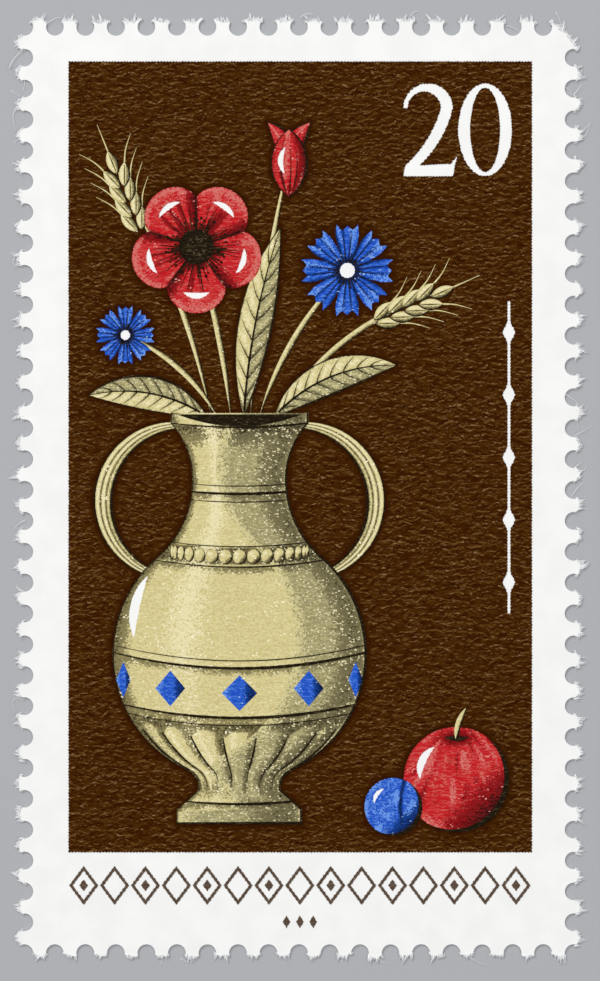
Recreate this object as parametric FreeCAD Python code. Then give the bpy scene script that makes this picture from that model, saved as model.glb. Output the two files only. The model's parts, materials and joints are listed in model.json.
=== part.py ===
"""A postage stamp: one small perforated sheet of paper, printed on its face in six inks.

The stamp lies face up. X runs across it, Y up the picture and Z out of the paper. The origin is
the middle of the perforation rectangle, on the gummed back. All sizes are in millimetres.

The sheet is one solid. Each ink is a film of dry ink on top of it, and a film is as many separate
solids as the ink has printed areas. Four inks lie side by side on the paper, and two more are
printed over them. White is bare paper.
"""
import FreeCAD
import Part

import math
import os
import random

from FreeCAD import Vector

# The sheet, from hole centre to hole centre, and its torn teeth
paper_thickness = 0.10
comb_width = 25.5
comb_height = 43.0
top_row_teeth = 18
side_row_teeth = 30
hole_diameter = 0.83
hole_facet_turn = 38
top_tear = 0.28
side_tear = 0.19
bottom_tear = 0.10
tear_roughness = 0.05
tear_seed = 85

# The tear across the top right corner, in hole pitches from the hole that was there
corner_tear = ((0.06, -0.67), (-0.03, -0.50), (-0.19, -0.25), (-0.45, -0.05), (-0.62, 0.05))

# The ink films
ink_film = 0.02
register_slip_x = -0.05
register_slip_y = 0.02
drawn_line = 0.16

# The bare border round the printed field
left_margin = 2.04
right_margin = 1.96
top_margin = 1.63
bottom_margin = 4.67

# The jug. Its belly, waist and neck are arcs that run into one another.
jug_from_left = 8.0
jug_from_bottom = 1.3
foot_radius = 2.9
foot_height = 0.7
stem_radius = 1.9
stem_height = 1.6
belly_radius = 5.9
belly_height = 7.9
neck_radius = 2.2
neck_height = 16.0
rim_radius = 3.2
rim_height = 18.6
lip_height = 0.5
mouth_half_depth = 0.55
belly_fullness = 0.85
handle_width = 0.85
handle_bow = 2.5
shade_width = 3.3
ring_sag = 0.75
frieze_width = 2.3
frieze_lozenges = 5
frieze_turn = 33

# The bouquet. Each place is from the middle of the jug's mouth, and each stem leaves the mouth so
# far from its middle.
stem_width = 0.28
poppy_radius = 3.1
poppy_petals = 5
poppy_at = (-2.0, 7.7)
poppy_stem_from = -0.4
tulip_length = 3.6
tulip_at = (2.3, 10.0)
tulip_stem_from = 0.5
cornflower_radius = 2.2
cornflower_florets = 8
cornflower_at = (5.0, 6.6)
cornflower_stem_from = 0.9
bud_radius = 1.4
bud_at = (-5.3, 3.6)
bud_stem_from = -1.0
grain_length = 1.15
grain_width = 0.52
grain_pairs = 4
grain_pitch = 0.72
left_ear_at = (-5.9, 11.6)
left_ear_stem_from = -1.3
left_ear_turn = 112
right_ear_at = (9.4, 5.6)
right_ear_stem_from = 1.7
right_ear_turn = 24
leaf_half_width = 0.8
left_leaf = ((-1.5, -0.2), (-7.0, 0.8))
left_leaf_bow = -0.6
middle_leaf = ((0.2, -0.2), (1.9, 8.6))
middle_leaf_bow = 0.3
right_leaf = ((1.6, -0.2), (7.3, 2.2))
right_leaf_bow = 0.7

# Fruit beside the jug
apple_radius = 2.45
apple_from_right = 1.0
plum_radius = 1.35

# White numerals and ornament in the field
numeral_height = 4.3
numeral_width = 2.3
numeral_gap = 0.35
numeral_margin = 1.0
numeral_thick = 0.56
numeral_thin = 0.2
neck_bow = 0.22
rule_from_right = 1.05
rule_length = 14.5
rule_width = 0.12
rule_lozenges = 5

# Brown ornament on the bare border under the field
caption_gap = 0.62
caption_height = 1.8
caption_lozenges = 15
caption_line = 0.13
tail_gap = 0.5
tail_height = 0.58
tail_pitch = 0.62

# Worked out from the sizes above
hole_radius = hole_diameter / 2
field_left = left_margin - comb_width / 2
field_right = comb_width / 2 - right_margin
field_bottom = bottom_margin - comb_height / 2
field_top = comb_height / 2 - top_margin
field_width = field_right - field_left
jug_x = field_left + jug_from_left
jug_y = field_bottom + jug_from_bottom
mouth_y = jug_y + rim_height + lip_height


# Plane shapes

def at(x, y):
    return Vector(x, y, 0)


def polygon(points):
    return Part.Face(Part.makePolygon(points + points[:1]))


def rectangle(left, bottom, right, top):
    return polygon([at(left, bottom), at(right, bottom), at(right, top), at(left, top)])


def lozenge(x, y, half_width, half_height):
    return polygon([at(x - half_width, y), at(x, y - half_height),
                    at(x + half_width, y), at(x, y + half_height)])


def oval(x, y, half_width, half_height, corners=18):
    """An oval drawn with so many chords."""
    turns = [2 * math.pi * i / corners for i in range(corners)]
    return polygon([at(x + half_width * math.cos(t), y + half_height * math.sin(t)) for t in turns])


def arc_edge(start, end, rise):
    """An arc from start to end that rises so far to the left of the straight line between them."""
    if abs(rise) < 1e-4:
        return Part.makeLine(start, end)
    along = end - start
    middle = (start + end) * 0.5 + Vector(-along.y, along.x, 0).normalize() * rise
    return Part.Arc(start, middle, end).toShape()


def blade(root, tip, left, right):
    """A pointed area between two arcs from root to tip. left and right say how far each arc rises
    to the left of the straight line."""
    return Part.Face(Part.Wire([arc_edge(root, tip, left), arc_edge(tip, root, -right)]))


def moved(shape, x, y):
    copy = shape.copy()
    copy.translate(at(x, y))
    return copy


def placed(shape, x, y, degrees):
    copy = shape.copy()
    copy.rotate(at(0, 0), Vector(0, 0, 1), degrees)
    copy.translate(at(x, y))
    return copy


def joined(shapes):
    return shapes[0].fuse(shapes[1:]).removeSplitter()


def cut_from(faces, tool):
    """The faces with the tool's area taken out of them."""
    kept = []
    for face in faces:
        kept += face.cut(tool).Faces if face.BoundBox.intersect(tool.BoundBox) else [face]
    return kept


# The print

class Print:
    """The areas that each ink covers. What is printed later knocks out what lies under it, and the
    frame of the field crops it."""

    def __init__(self, frame):
        self.frame = frame
        self.on_paper = {"brown_ink": [frame], "ochre_ink": [], "red_ink": [], "blue_ink": []}
        self.on_ink = {"shade_ink": [], "black_ink": []}

    def cropped(self, shape):
        inside = self.frame.BoundBox.isInside(shape.BoundBox)
        return shape if inside else shape.common(self.frame)

    def leave_white(self, shape):
        """Leaves an area bare in every ink."""
        shape = self.cropped(shape)
        for layer in (self.on_paper, self.on_ink):
            for ink in layer:
                layer[ink] = cut_from(layer[ink], shape)

    def paint(self, ink, shape):
        """Prints an area on the paper, a hair out of register with the brown plate."""
        shape = self.cropped(shape)
        self.leave_white(shape)
        self.on_paper[ink] += shape.common(moved(shape, register_slip_x, register_slip_y)).Faces

    def overprint(self, ink, shape):
        """Prints an area over the other inks, wherever ochre, red or blue lies under it."""
        under = self.on_paper["ochre_ink"] + self.on_paper["red_ink"] + self.on_paper["blue_ink"]
        under = [face for face in under if face.BoundBox.intersect(shape.BoundBox)]
        printed = []
        for face in under:
            printed += shape.common(face).Faces
        for over in self.on_ink:
            for face in printed:
                self.on_ink[over] = cut_from(self.on_ink[over], face)
        self.on_ink[ink] += printed

    def shade(self, shape, width):
        """Prints shade down the right of a form."""
        self.overprint("shade_ink", shape.cut(moved(shape, -width, width / 5)))

    def outline(self, shape):
        """Draws a black line down the right of a form, widest at its side."""
        self.overprint("black_ink", shape.cut(moved(shape, -2 * drawn_line, drawn_line)))


# The jug

def waist_join(waist_radius, waist_height, full_radius):
    """Where an arc through the belly runs into an arc through a waist. Both stand upright at those
    heights, so their centres lie this far apart."""
    inward = belly_radius - waist_radius
    rise = waist_height - belly_height
    apart = (inward ** 2 + rise ** 2) / (2 * inward)
    belly_centre = at(belly_radius - full_radius, belly_height)
    waist_centre = at(waist_radius + apart - full_radius, waist_height)
    join = belly_centre + (waist_centre - belly_centre) * (full_radius / apart)
    reach = at(waist_radius, waist_height) + join - waist_centre * 2
    middle = waist_centre + reach.normalize() * (apart - full_radius)
    return join, middle


def flare_middle():
    """The middle point of the arc from the upright neck out to the rim."""
    out = rim_radius - neck_radius
    up = rim_height - neck_height
    radius = (out ** 2 + up ** 2) / (2 * out)
    turn = math.asin(min(1, up / radius)) / 2
    return at(neck_radius + radius * (1 - math.cos(turn)), neck_height + radius * math.sin(turn))


def jug_side():
    """The right half of the jug's outline, from the middle of its foot to the middle of its lip."""
    spans = []
    for radius, height in ((stem_radius, stem_height), (neck_radius, neck_height)):
        inward = belly_radius - radius
        spans.append((inward ** 2 + (height - belly_height) ** 2) / (2 * inward))
    full_radius = belly_fullness * min(spans)
    low_join, low_middle = waist_join(stem_radius, stem_height, full_radius)
    high_join, high_middle = waist_join(neck_radius, neck_height, full_radius)
    foot = [at(0, 0), at(foot_radius, 0), at(foot_radius, foot_height), at(stem_radius, stem_height)]
    lip = [at(rim_radius, rim_height), at(rim_radius, rim_height + lip_height),
           at(0, rim_height + lip_height)]
    edges = [Part.makeLine(a, b) for a, b in zip(foot, foot[1:])]
    edges.append(Part.Arc(foot[-1], low_middle, low_join).toShape())
    edges.append(Part.Arc(low_join, at(belly_radius, belly_height), high_join).toShape())
    edges.append(Part.Arc(high_join, high_middle, at(neck_radius, neck_height)).toShape())
    edges.append(Part.Arc(at(neck_radius, neck_height), flare_middle(), lip[0]).toShape())
    edges += [Part.makeLine(a, b) for a, b in zip(lip, lip[1:])]
    return edges


def jug_body():
    right = Part.Wire(jug_side())
    left = right.mirror(at(0, 0), Vector(1, 0, 0))
    body = Part.Face(Part.Wire(right.Edges + left.Edges[::-1]))
    return moved(body, jug_x, jug_y)


def jug_handle(side):
    """A bow from the neck to the shoulder. Its ends are hidden behind the body."""
    top = at(jug_x + side * neck_radius / 2, jug_y + rim_height - lip_height)
    foot = at(jug_x + side * neck_radius, jug_y + (belly_height + neck_height) / 2 - lip_height)
    bow = side * (handle_bow + neck_radius)
    return blade(top, foot, bow + side * handle_width / 2, bow - side * handle_width / 2)


def ring(height, body, width=drawn_line):
    """A drawn ring round the jug, seen a little from above."""
    left = at(jug_x - belly_radius, jug_y + height)
    right = at(jug_x + belly_radius, jug_y + height)
    band = Part.Face(Part.Wire([arc_edge(left, right, -ring_sag),
                                Part.makeLine(right, right + at(0, width)),
                                arc_edge(right + at(0, width), left + at(0, width), ring_sag),
                                Part.makeLine(left + at(0, width), left)]))
    return band.common(body)


def draw_jug(picture):
    for side in (-1, 1):
        handle = jug_handle(side)
        picture.paint("ochre_ink", handle)
    body = jug_body()
    picture.paint("ochre_ink", body)
    picture.shade(body, shade_width)
    half_mouth = rim_radius - drawn_line * 2
    mouth = blade(at(jug_x - half_mouth, mouth_y), at(jug_x + half_mouth, mouth_y), 0, -mouth_half_depth)
    picture.overprint("black_ink", moved(mouth, 0, -drawn_line / 2))
    frieze_low = belly_height - frieze_width
    for height in (frieze_low, belly_height, neck_height, stem_height):
        picture.overprint("black_ink", ring(height, body))
    for i in range(frieze_lozenges):
        turn = math.radians((i - (frieze_lozenges - 1) / 2) * frieze_turn)
        across = belly_radius * math.sin(turn)
        drop = ring_sag * (math.cos(turn) ** 2) - drawn_line / 2
        half_width = frieze_width * 0.36 * math.cos(turn)
        picture.paint("blue_ink", lozenge(jug_x + across, jug_y + belly_height - frieze_width / 2 - drop,
                                          half_width, frieze_width * 0.36))
    shine_top = at(jug_x - belly_radius * 0.72, jug_y + belly_height + belly_radius * 0.62)
    shine_foot = at(jug_x - belly_radius * 0.83, jug_y + belly_height + belly_radius * 0.12)
    picture.leave_white(blade(shine_top, shine_foot, -0.5, -0.05))


# The bouquet

def draw_stem(picture, head, stem_from):
    """A stem from the jug's mouth up into a flower head or an ear."""
    root = at(jug_x + stem_from, mouth_y - lip_height / 2)
    bow = (head.x - root.x) * 0.12
    picture.paint("ochre_ink", blade(root, head, bow + stem_width / 2, bow - stem_width / 2))


def draw_leaf(picture, root, tip, bow):
    """A leaf with a lit half and a shaded half."""
    picture.paint("ochre_ink", blade(root, tip, bow + leaf_half_width, bow - leaf_half_width))
    picture.overprint("shade_ink", blade(root, tip, bow, bow - leaf_half_width))


def draw_ear(picture, tip, stem_from, degrees):
    """An ear of wheat: pairs of grains up a stalk and one at its tip."""
    draw_stem(picture, tip, stem_from)
    grain = lozenge(0, 0, grain_length / 2, grain_width / 2)
    for pair in range(grain_pairs, 0, -1):
        for side in (-1, 1):
            near = placed(grain, -pair * grain_pitch, side * grain_width * 0.6, 0)
            near.rotate(near.CenterOfMass, Vector(0, 0, 1), side * 22)
            picture.paint("ochre_ink", placed(near, tip.x, tip.y, degrees))
    picture.paint("ochre_ink", placed(grain, tip.x, tip.y, degrees))


def draw_poppy(picture, x, y):
    """An open flower with round petals, white glints and a dark eye."""
    outline = []
    per_petal = 7
    for i in range(poppy_petals * per_petal):
        turn = 2 * math.pi * i / (poppy_petals * per_petal)
        swell = abs(math.sin(turn * poppy_petals / 2)) ** 0.7
        radius = poppy_radius * (0.74 + 0.26 * swell)
        outline.append(at(radius * math.sin(turn), radius * math.cos(turn)))
    picture.paint("red_ink", moved(polygon(outline), x, y))
    for i in range(poppy_petals):
        degrees = (i + 0.5) * 360 / poppy_petals
        glint = blade(at(poppy_radius * 0.2, poppy_radius * 0.68),
                      at(-poppy_radius * 0.2, poppy_radius * 0.68), -0.3, -0.03)
        picture.leave_white(placed(glint, x, y, degrees))
    picture.overprint("black_ink", oval(x, y, poppy_radius * 0.26, poppy_radius * 0.26, 12))


def draw_tulip(picture, x, y):
    """A cup of three pointed petals, the middle one in front."""
    root = at(x, y)
    for side in (-1, 1):
        tip = at(x + side * tulip_length * 0.28, y + tulip_length * 0.97)
        petal = blade(root, tip, side * 0.55 + 0.55, side * 0.55 - 0.55)
        picture.paint("red_ink", petal)
    front = blade(root, at(x, y + tulip_length * 0.88), 0.85, -0.85)
    picture.paint("red_ink", front)
    picture.leave_white(blade(at(x - 0.2, y + tulip_length * 0.3), at(x - 0.15, y + tulip_length * 0.65),
                              0.35, 0.1))


def draw_cornflower(picture, x, y, radius):
    """A ring of notched florets round a white eye."""
    outline = []
    for i in range(cornflower_florets):
        middle = 2 * math.pi * i / cornflower_florets
        for share, reach in ((-0.3, 1), (0, 0.8), (0.3, 1), (0.5, 0.5)):
            turn = middle + share * 2 * math.pi / cornflower_florets
            outline.append(at(x + radius * reach * math.cos(turn), y + radius * reach * math.sin(turn)))
    picture.paint("blue_ink", polygon(outline))
    picture.leave_white(oval(x, y, radius * 0.16, radius * 0.16, 8))


def over_mouth(place):
    return at(jug_x + place[0], mouth_y + place[1])


def draw_bouquet(picture):
    poppy, tulip = over_mouth(poppy_at), over_mouth(tulip_at)
    cornflower, bud = over_mouth(cornflower_at), over_mouth(bud_at)
    draw_ear(picture, over_mouth(left_ear_at), left_ear_stem_from, left_ear_turn)
    draw_ear(picture, over_mouth(right_ear_at), right_ear_stem_from, right_ear_turn)
    draw_stem(picture, tulip + at(0, tulip_length / 2), tulip_stem_from)
    draw_stem(picture, poppy, poppy_stem_from)
    draw_stem(picture, cornflower, cornflower_stem_from)
    draw_stem(picture, bud, bud_stem_from)
    for (root, tip), bow in ((right_leaf, right_leaf_bow), (left_leaf, left_leaf_bow),
                             (middle_leaf, middle_leaf_bow)):
        draw_leaf(picture, over_mouth(root), over_mouth(tip), bow)
    draw_tulip(picture, tulip.x, tulip.y)
    draw_cornflower(picture, bud.x, bud.y, bud_radius)
    draw_cornflower(picture, cornflower.x, cornflower.y, cornflower_radius)
    draw_poppy(picture, poppy.x, poppy.y)


# Fruit beside the jug

def draw_fruit(picture):
    apple_x = field_right - apple_from_right - apple_radius
    apple_y = jug_y + apple_radius * 0.85
    apple = oval(apple_x, apple_y, apple_radius, apple_radius, 26)
    picture.paint("red_ink", apple)
    picture.outline(apple)
    top = apple_y + apple_radius
    picture.paint("ochre_ink", blade(at(apple_x, top - apple_radius * 0.28),
                                     at(apple_x + 0.5, top + 0.9), 0.28, 0))
    picture.leave_white(blade(at(apple_x - apple_radius * 0.4, apple_y + apple_radius * 0.62),
                              at(apple_x - apple_radius * 0.68, apple_y), -0.45, -0.08))
    plum_x = apple_x - apple_radius - plum_radius * 0.35
    plum_y = jug_y + plum_radius * 0.6
    plum = oval(plum_x, plum_y, plum_radius, plum_radius)
    picture.paint("blue_ink", plum)
    picture.outline(plum)
    picture.leave_white(blade(at(plum_x - plum_radius * 0.3, plum_y + plum_radius * 0.62),
                              at(plum_x - plum_radius * 0.65, plum_y + plum_radius * 0.1), -0.25, -0.05))


# White numerals and ornament in the field

def digit_two(x, y):
    width, height = numeral_width, numeral_height
    right = x + width
    bowl_y = y + height - width / 2
    foot_y = y + numeral_thick * 0.9
    bowl = oval(x + width / 2, bowl_y, width / 2, width / 2)
    inside = width / 2 - (numeral_thick + numeral_thin) / 2
    bowl = bowl.cut(oval(x + (width - numeral_thick + numeral_thin) / 2, bowl_y, inside, inside))
    bowl = bowl.cut(rectangle(x, y, right, bowl_y))
    outer, inner = at(right, bowl_y), at(right - numeral_thick, bowl_y)
    neck_right = at(x + numeral_thick + numeral_thin, foot_y)
    neck_left = at(x + numeral_thin / 2, foot_y)
    neck = Part.Face(Part.Wire([arc_edge(outer, neck_right, neck_bow), Part.makeLine(neck_right, neck_left),
                                arc_edge(neck_left, inner, -neck_bow), Part.makeLine(inner, outer)]))
    foot = polygon([at(x, y), at(right, y), at(right + numeral_thin, y + height * 0.22),
                    at(right - numeral_thin / 2, y + numeral_thick), at(x, foot_y)])
    return joined([bowl, neck, foot])


def digit_zero(x, y):
    middle_x, middle_y = x + numeral_width / 2, y + numeral_height / 2
    outer = oval(middle_x, middle_y, numeral_width / 2 + numeral_thin / 2, numeral_height / 2)
    return outer.cut(oval(middle_x, middle_y, numeral_width / 2 + numeral_thin / 2 - numeral_thick,
                          numeral_height / 2 - numeral_thin))


def draw_numerals(picture):
    y = field_top - numeral_margin - numeral_height
    zero_x = field_right - numeral_margin - numeral_width
    picture.leave_white(digit_two(zero_x - numeral_gap - numeral_width, y))
    picture.leave_white(digit_zero(zero_x, y))


def draw_side_rule(picture):
    x = field_right - rule_from_right
    low = (field_bottom + field_top - rule_length) / 2
    parts = [rectangle(x - rule_width / 2, low, x + rule_width / 2, low + rule_length)]
    for i in range(rule_lozenges):
        parts.append(lozenge(x, low + rule_length * (i + 0.5) / rule_lozenges, 0.3, 0.62))
    picture.leave_white(joined(parts))


# Brown ornament on the bare border

def caption_ornament():
    pitch = field_width / caption_lozenges
    half_height = caption_height / 2
    half_width = pitch * 0.47
    y = field_bottom - caption_gap - half_height
    line = caption_line * math.hypot(half_width, half_height) / half_height
    faces = []
    for i in range(caption_lozenges):
        x = field_left + pitch * (i + 0.5)
        inner = lozenge(x, y, half_width - line, half_height - line * half_height / half_width)
        faces.append(lozenge(x, y, half_width, half_height).cut(inner))
        if i % 2 == 0:
            faces.append(lozenge(x, y, half_width * 0.3, half_height * 0.3))
    tail_y = y - half_height - tail_gap - tail_height / 2
    for i in (-1, 0, 1):
        faces.append(lozenge((field_left + field_right) / 2 + i * tail_pitch, tail_y,
                             tail_height * 0.3, tail_height / 2))
    return faces


# The perforated sheet

def side_frame(side):
    """Where a side starts, the way it runs and the way out of the sheet there. The sides follow
    one another round the sheet, from the bottom one."""
    half_x, half_y = comb_width / 2, comb_height / 2
    corner = (at(-half_x, -half_y), at(half_x, -half_y), at(half_x, half_y), at(-half_x, half_y))[side]
    along = (at(1, 0), at(0, 1), at(-1, 0), at(0, -1))[side]
    return corner, along, Vector(along.y, -along.x, 0)


def hole_wall(centre, start, end):
    """The points of a hole's round wall, between the two teeth beside it."""
    first = math.atan2(start.y - centre.y, start.x - centre.x)
    last = math.atan2(end.y - centre.y, end.x - centre.x)
    sweep = (first - last) % (2 * math.pi)
    facets = max(2, round(math.degrees(sweep) / hole_facet_turn))
    turns = [first - sweep * i / facets for i in range(1, facets)]
    return [centre + at(hole_radius * math.cos(t), hole_radius * math.sin(t)) for t in turns]


def sheet_face():
    """The sheet's outline: a round wall for each hole, and a torn end for each tooth."""
    tear = random.Random(tear_seed)
    reach = (bottom_tear, side_tear, top_tear, side_tear)
    holes, teeth = [], []
    for side in range(4):
        corner, along, out = side_frame(side)
        count = side_row_teeth if side % 2 else top_row_teeth
        pitch = (comb_height if side % 2 else comb_width) / count
        for i in range(count):
            ends = []
            for hole, way in ((i, 1), (i + 1, -1)):
                height = min(hole_radius, reach[side] + tear.uniform(-tear_roughness, tear_roughness))
                chord = math.sqrt(hole_radius ** 2 - height ** 2)
                ends.append(corner + along * (hole * pitch + way * chord) + out * height)
            holes.append(corner + along * (i * pitch))
            teeth.append(ends)
    outline = []
    torn_corner = top_row_teeth + side_row_teeth
    side_pitch = comb_height / side_row_teeth
    for i, (hole, tooth) in enumerate(zip(holes, teeth)):
        if i == torn_corner:
            outline[-1:] = [hole + at(x, y) * side_pitch for x, y in corner_tear]
            outline.append(tooth[1])
        else:
            outline += hole_wall(hole, teeth[i - 1][1], tooth[0])
            outline += tooth
    return polygon(outline)


# Putting it together

def film(faces, level):
    lifted = [face.copy() for face in faces]
    for face in lifted:
        face.translate(Vector(0, 0, level))
    return Part.makeCompound([face.extrude(Vector(0, 0, ink_film)) for face in lifted])


def draw_picture():
    picture = Print(rectangle(field_left, field_bottom, field_right, field_top))
    draw_bouquet(picture)
    draw_jug(picture)
    draw_fruit(picture)
    draw_numerals(picture)
    draw_side_rule(picture)
    picture.on_paper["brown_ink"] += caption_ornament()
    return picture


def build():
    nodes = {"paper_sheet": sheet_face().extrude(Vector(0, 0, paper_thickness))}
    picture = draw_picture()
    for ink, faces in picture.on_paper.items():
        nodes[ink] = film(faces, paper_thickness)
    for ink, faces in picture.on_ink.items():
        nodes[ink] = film(faces, paper_thickness + ink_film)
    return nodes


os.makedirs("parts", exist_ok=True)
for name, shape in build().items():
    shape.exportStep(f"parts/{name}.step")
    print(name, len(shape.Solids), "solids", round(shape.Volume, 4), "mm3", shape.isValid())
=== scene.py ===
"""A perforated postage stamp with a printed still life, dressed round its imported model.

Shapes are drawn in millimetres on the stamp's face, with x across it, y up the picture and z out of
the paper, and each finished piece is put into the frame's metres. The sheet is cut with true holes
and torn teeth. Each painted form is a thin film of ink: a sheet of squares bent to the drawn form,
which carries a tone that says how dark and how light the ink is from place to place. What is
painted later is cut out of what lies under it. The brown ground is printed a hair over the forms'
edges, so that no paper shows beside them.
"""

import json
import random
from itertools import pairwise
from math import asin, atan2, ceil, cos, exp, hypot, pi, radians, sin, sqrt, tau

import bmesh
import bpy
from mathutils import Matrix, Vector, geometry, kdtree
from mathutils.noise import noise

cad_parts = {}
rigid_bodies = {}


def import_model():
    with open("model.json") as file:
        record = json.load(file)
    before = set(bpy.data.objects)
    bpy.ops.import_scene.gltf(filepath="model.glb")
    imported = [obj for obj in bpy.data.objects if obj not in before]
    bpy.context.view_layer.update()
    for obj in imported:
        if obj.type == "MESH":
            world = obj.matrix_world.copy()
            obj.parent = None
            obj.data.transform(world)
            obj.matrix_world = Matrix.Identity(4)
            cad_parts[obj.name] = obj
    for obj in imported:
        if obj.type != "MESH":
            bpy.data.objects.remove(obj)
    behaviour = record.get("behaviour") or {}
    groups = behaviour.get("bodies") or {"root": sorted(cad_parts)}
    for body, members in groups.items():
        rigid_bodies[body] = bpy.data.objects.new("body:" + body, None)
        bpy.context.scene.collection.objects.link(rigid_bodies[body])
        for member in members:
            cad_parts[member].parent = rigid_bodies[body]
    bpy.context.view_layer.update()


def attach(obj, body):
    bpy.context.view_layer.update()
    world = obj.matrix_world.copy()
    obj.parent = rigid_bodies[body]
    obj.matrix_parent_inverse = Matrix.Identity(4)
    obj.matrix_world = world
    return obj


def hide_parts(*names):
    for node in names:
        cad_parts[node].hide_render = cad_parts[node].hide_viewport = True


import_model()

MM = 0.001

# The sheet, as in the model
paper_thickness = 0.10
comb_width = 25.5
comb_height = 43.0
top_row_teeth = 18
side_row_teeth = 30
hole_radius = 0.415
top_tear = 0.28
side_tear = 0.19
bottom_tear = 0.10
tear_roughness = 0.05
tear_seed = 85
corner_tear = ((0.06, -0.67), (-0.03, -0.50), (-0.19, -0.25), (-0.45, -0.05), (-0.62, 0.05))

# The print, as in the model
ink_top = paper_thickness + 0.02
register_slip = Vector((-0.05, 0.02, 0))
drawn_line = 0.16
field_left, field_right = 2.04 - comb_width / 2, comb_width / 2 - 1.96
field_bottom, field_top = 4.67 - comb_height / 2, comb_height / 2 - 1.63
jug_x, jug_y = field_left + 8.0, field_bottom + 1.3
belly_radius, belly_height, belly_fullness = 5.9, 7.9, 0.85
stem_radius, stem_height = 1.9, 1.6
neck_radius, neck_height = 2.2, 16.0
rim_radius, rim_height, lip_height = 3.2, 18.6, 0.5
foot_radius, foot_height = 2.9, 0.7
frieze_height = 2.3
frieze_foot = belly_height - frieze_height
ring_sag = 0.75
shade_width = 3.3
handle_bow, handle_width = 2.5, 0.85
mouth_y = jug_y + rim_height + lip_height
poppy_radius, poppy_heart, poppy_petals = 3.1, 0.806, 5
tulip_length = 3.6
florets = 8
apple_radius, plum_radius = 2.45, 1.35
numeral_width, numeral_height, numeral_inset = 2.3, 4.3, 1.0
caption_lozenges = 15

# The jug's lobes, beads and fine rings, which only this script draws
lobes, lobe_foot, lobe_top = 9, 1.95, 4.75
beads, bead_level, bead_height = 15, 13.08, 0.35
shoulder_ring, bead_ring = 12.6, 13.55

# The nicks that the cells of the printing screen leave along an edge. Near a sharp corner they fade
# out within the calm lengths
cell_pitch = 0.142
nick_depth = 0.016
field_nick_depth = 0.038
white_nick_depth = 0.024
glint_nick_depth = 0.014
edge_step = 0.021
sharp_corner = 0.6
form_calm, white_calm, caption_calm = 0.2, 0.15, 0.12

# How wide the heavy brown edge beside a form is, the brown ground's squares, the steps in which a
# drawn line is looked over for what hides it, and the levels of the blocks that cut through each ink
heavy_width = 0.3
ground_step = 0.18
line_step = 0.06
cutter_low, cutter_high = 0.05, 0.2

# How far above and below a place the slope of its noise is read, and how far that way leans left.
# The slope gives the inks' fine relief, and decides where light and shade are painted into their colours
slope_lift = 0.028
slope_lean = 0.15


def at(x, y, z=0.0):
    return Vector((x, y, z))


def aim(turn):
    return at(cos(turn), sin(turn))


def eased(value, low, high):
    """0 below low, 1 above high, and smooth between them."""
    share = min(1.0, max(0.0, (value - low) / (high - low)))
    return share * share * (3 - 2 * share)


def nearly(value, width):
    """1 where the value is 0, fading to 0 where it reaches the width."""
    return eased(width - value, 0, width)


def glow(value, middle, width):
    """1 at the middle, falling softly to 0 away from it."""
    return exp(-((value - middle) / width) ** 2)


def rough(x, y, z=0.0):
    """Chance that changes smoothly from place to place, from 0 upwards."""
    return max(0.0, noise(at(x, y, z)))


# Lines and outlines

def arc(start, end, rise, steps=24):
    """Points on an arc from start to end that rises so far to the left of the straight line."""
    if abs(rise) < 1e-4:
        return [start.lerp(end, i / steps) for i in range(steps + 1)]
    half = (end - start).length / 2
    left = at(start.y - end.y, end.x - start.x).normalized()
    centre = (start + end) / 2 + left * (rise * rise - half * half) / (2 * rise)
    first = atan2(start.y - centre.y, start.x - centre.x)
    last = atan2(end.y - centre.y, end.x - centre.x)
    sweep = -((first - last) % tau) if rise > 0 else (last - first) % tau
    radius = (start - centre).length
    turns = [first + sweep * i / steps for i in range(steps + 1)]
    return [centre + at(radius * cos(turn), radius * sin(turn)) for turn in turns]


def bend(start, start_pull, end_pull, end, steps):
    """Points on a smooth line that leaves start towards one pull and reaches end from the other."""
    return [Vector(point) for point in
            geometry.interpolate_bezier(start, start_pull, end_pull, end, steps + 1)]


def oval(x, y, half_width, half_height, steps):
    turns = [tau * i / steps for i in range(steps)]
    return [at(x + half_width * cos(turn), y + half_height * sin(turn)) for turn in turns]


def lozenge(x, y, half_width, half_height):
    return [at(x - half_width, y), at(x, y - half_height),
            at(x + half_width, y), at(x, y + half_height)]


def rectangle(left, bottom, right, top):
    return [at(left, bottom), at(right, bottom), at(right, top), at(left, top)]


def placed(points, x, y, degrees):
    """A drawn outline, turned and then moved."""
    turn = radians(degrees)
    return [at(x + p.x * cos(turn) - p.y * sin(turn),
               y + p.x * sin(turn) + p.y * cos(turn)) for p in points]


def stepped(points, step):
    """The same line with a point at least every step."""
    fine = []
    for start, end in pairwise(points):
        parts = max(1, ceil((end - start).length / step))
        fine += [start.lerp(end, i / parts) for i in range(parts)]
    return fine + points[-1:]


def around(points):
    """Each point of a closed outline, between the one before it and the one after it."""
    return zip(points[-1:] + points, points, points[1:] + points[:1])


def screened(outline, depth=nick_depth, sunk=0.0, calm=0.0):
    """An outline as the printing screen leaves it, with a nick at every cell. It lies sunk times the
    nicks' depth inside the drawn one, and nearer than calm to a corner it fades into that."""
    points = stepped(outline + outline[:1], edge_step)[:-1]
    corners = [point for before, point, after in around(outline)
               if (point - before).angle(after - point) > sharp_corner]
    nicked = []
    for before, point, after in around(points):
        along = (after - before).normalized()
        cell = cos(tau * point.x / cell_pitch) + cos(tau * point.y / cell_pitch)
        out = depth * (cell * 0.5 + noise(point * 6) * 0.5 - sunk)
        if calm:
            out *= eased(min([(point - corner).length for corner in corners], default=calm), 0, calm)
        nicked.append(point + at(along.y, -along.x) * out)
    return nicked


def encloses(outline, point):
    """Whether the point lies inside the outline."""
    crossed = False
    for _, start, end in around(outline):
        if (start.y > point.y) != (end.y > point.y):
            if point.x < start.x + (end.x - start.x) * (point.y - start.y) / (end.y - start.y):
                crossed = not crossed
    return crossed


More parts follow.
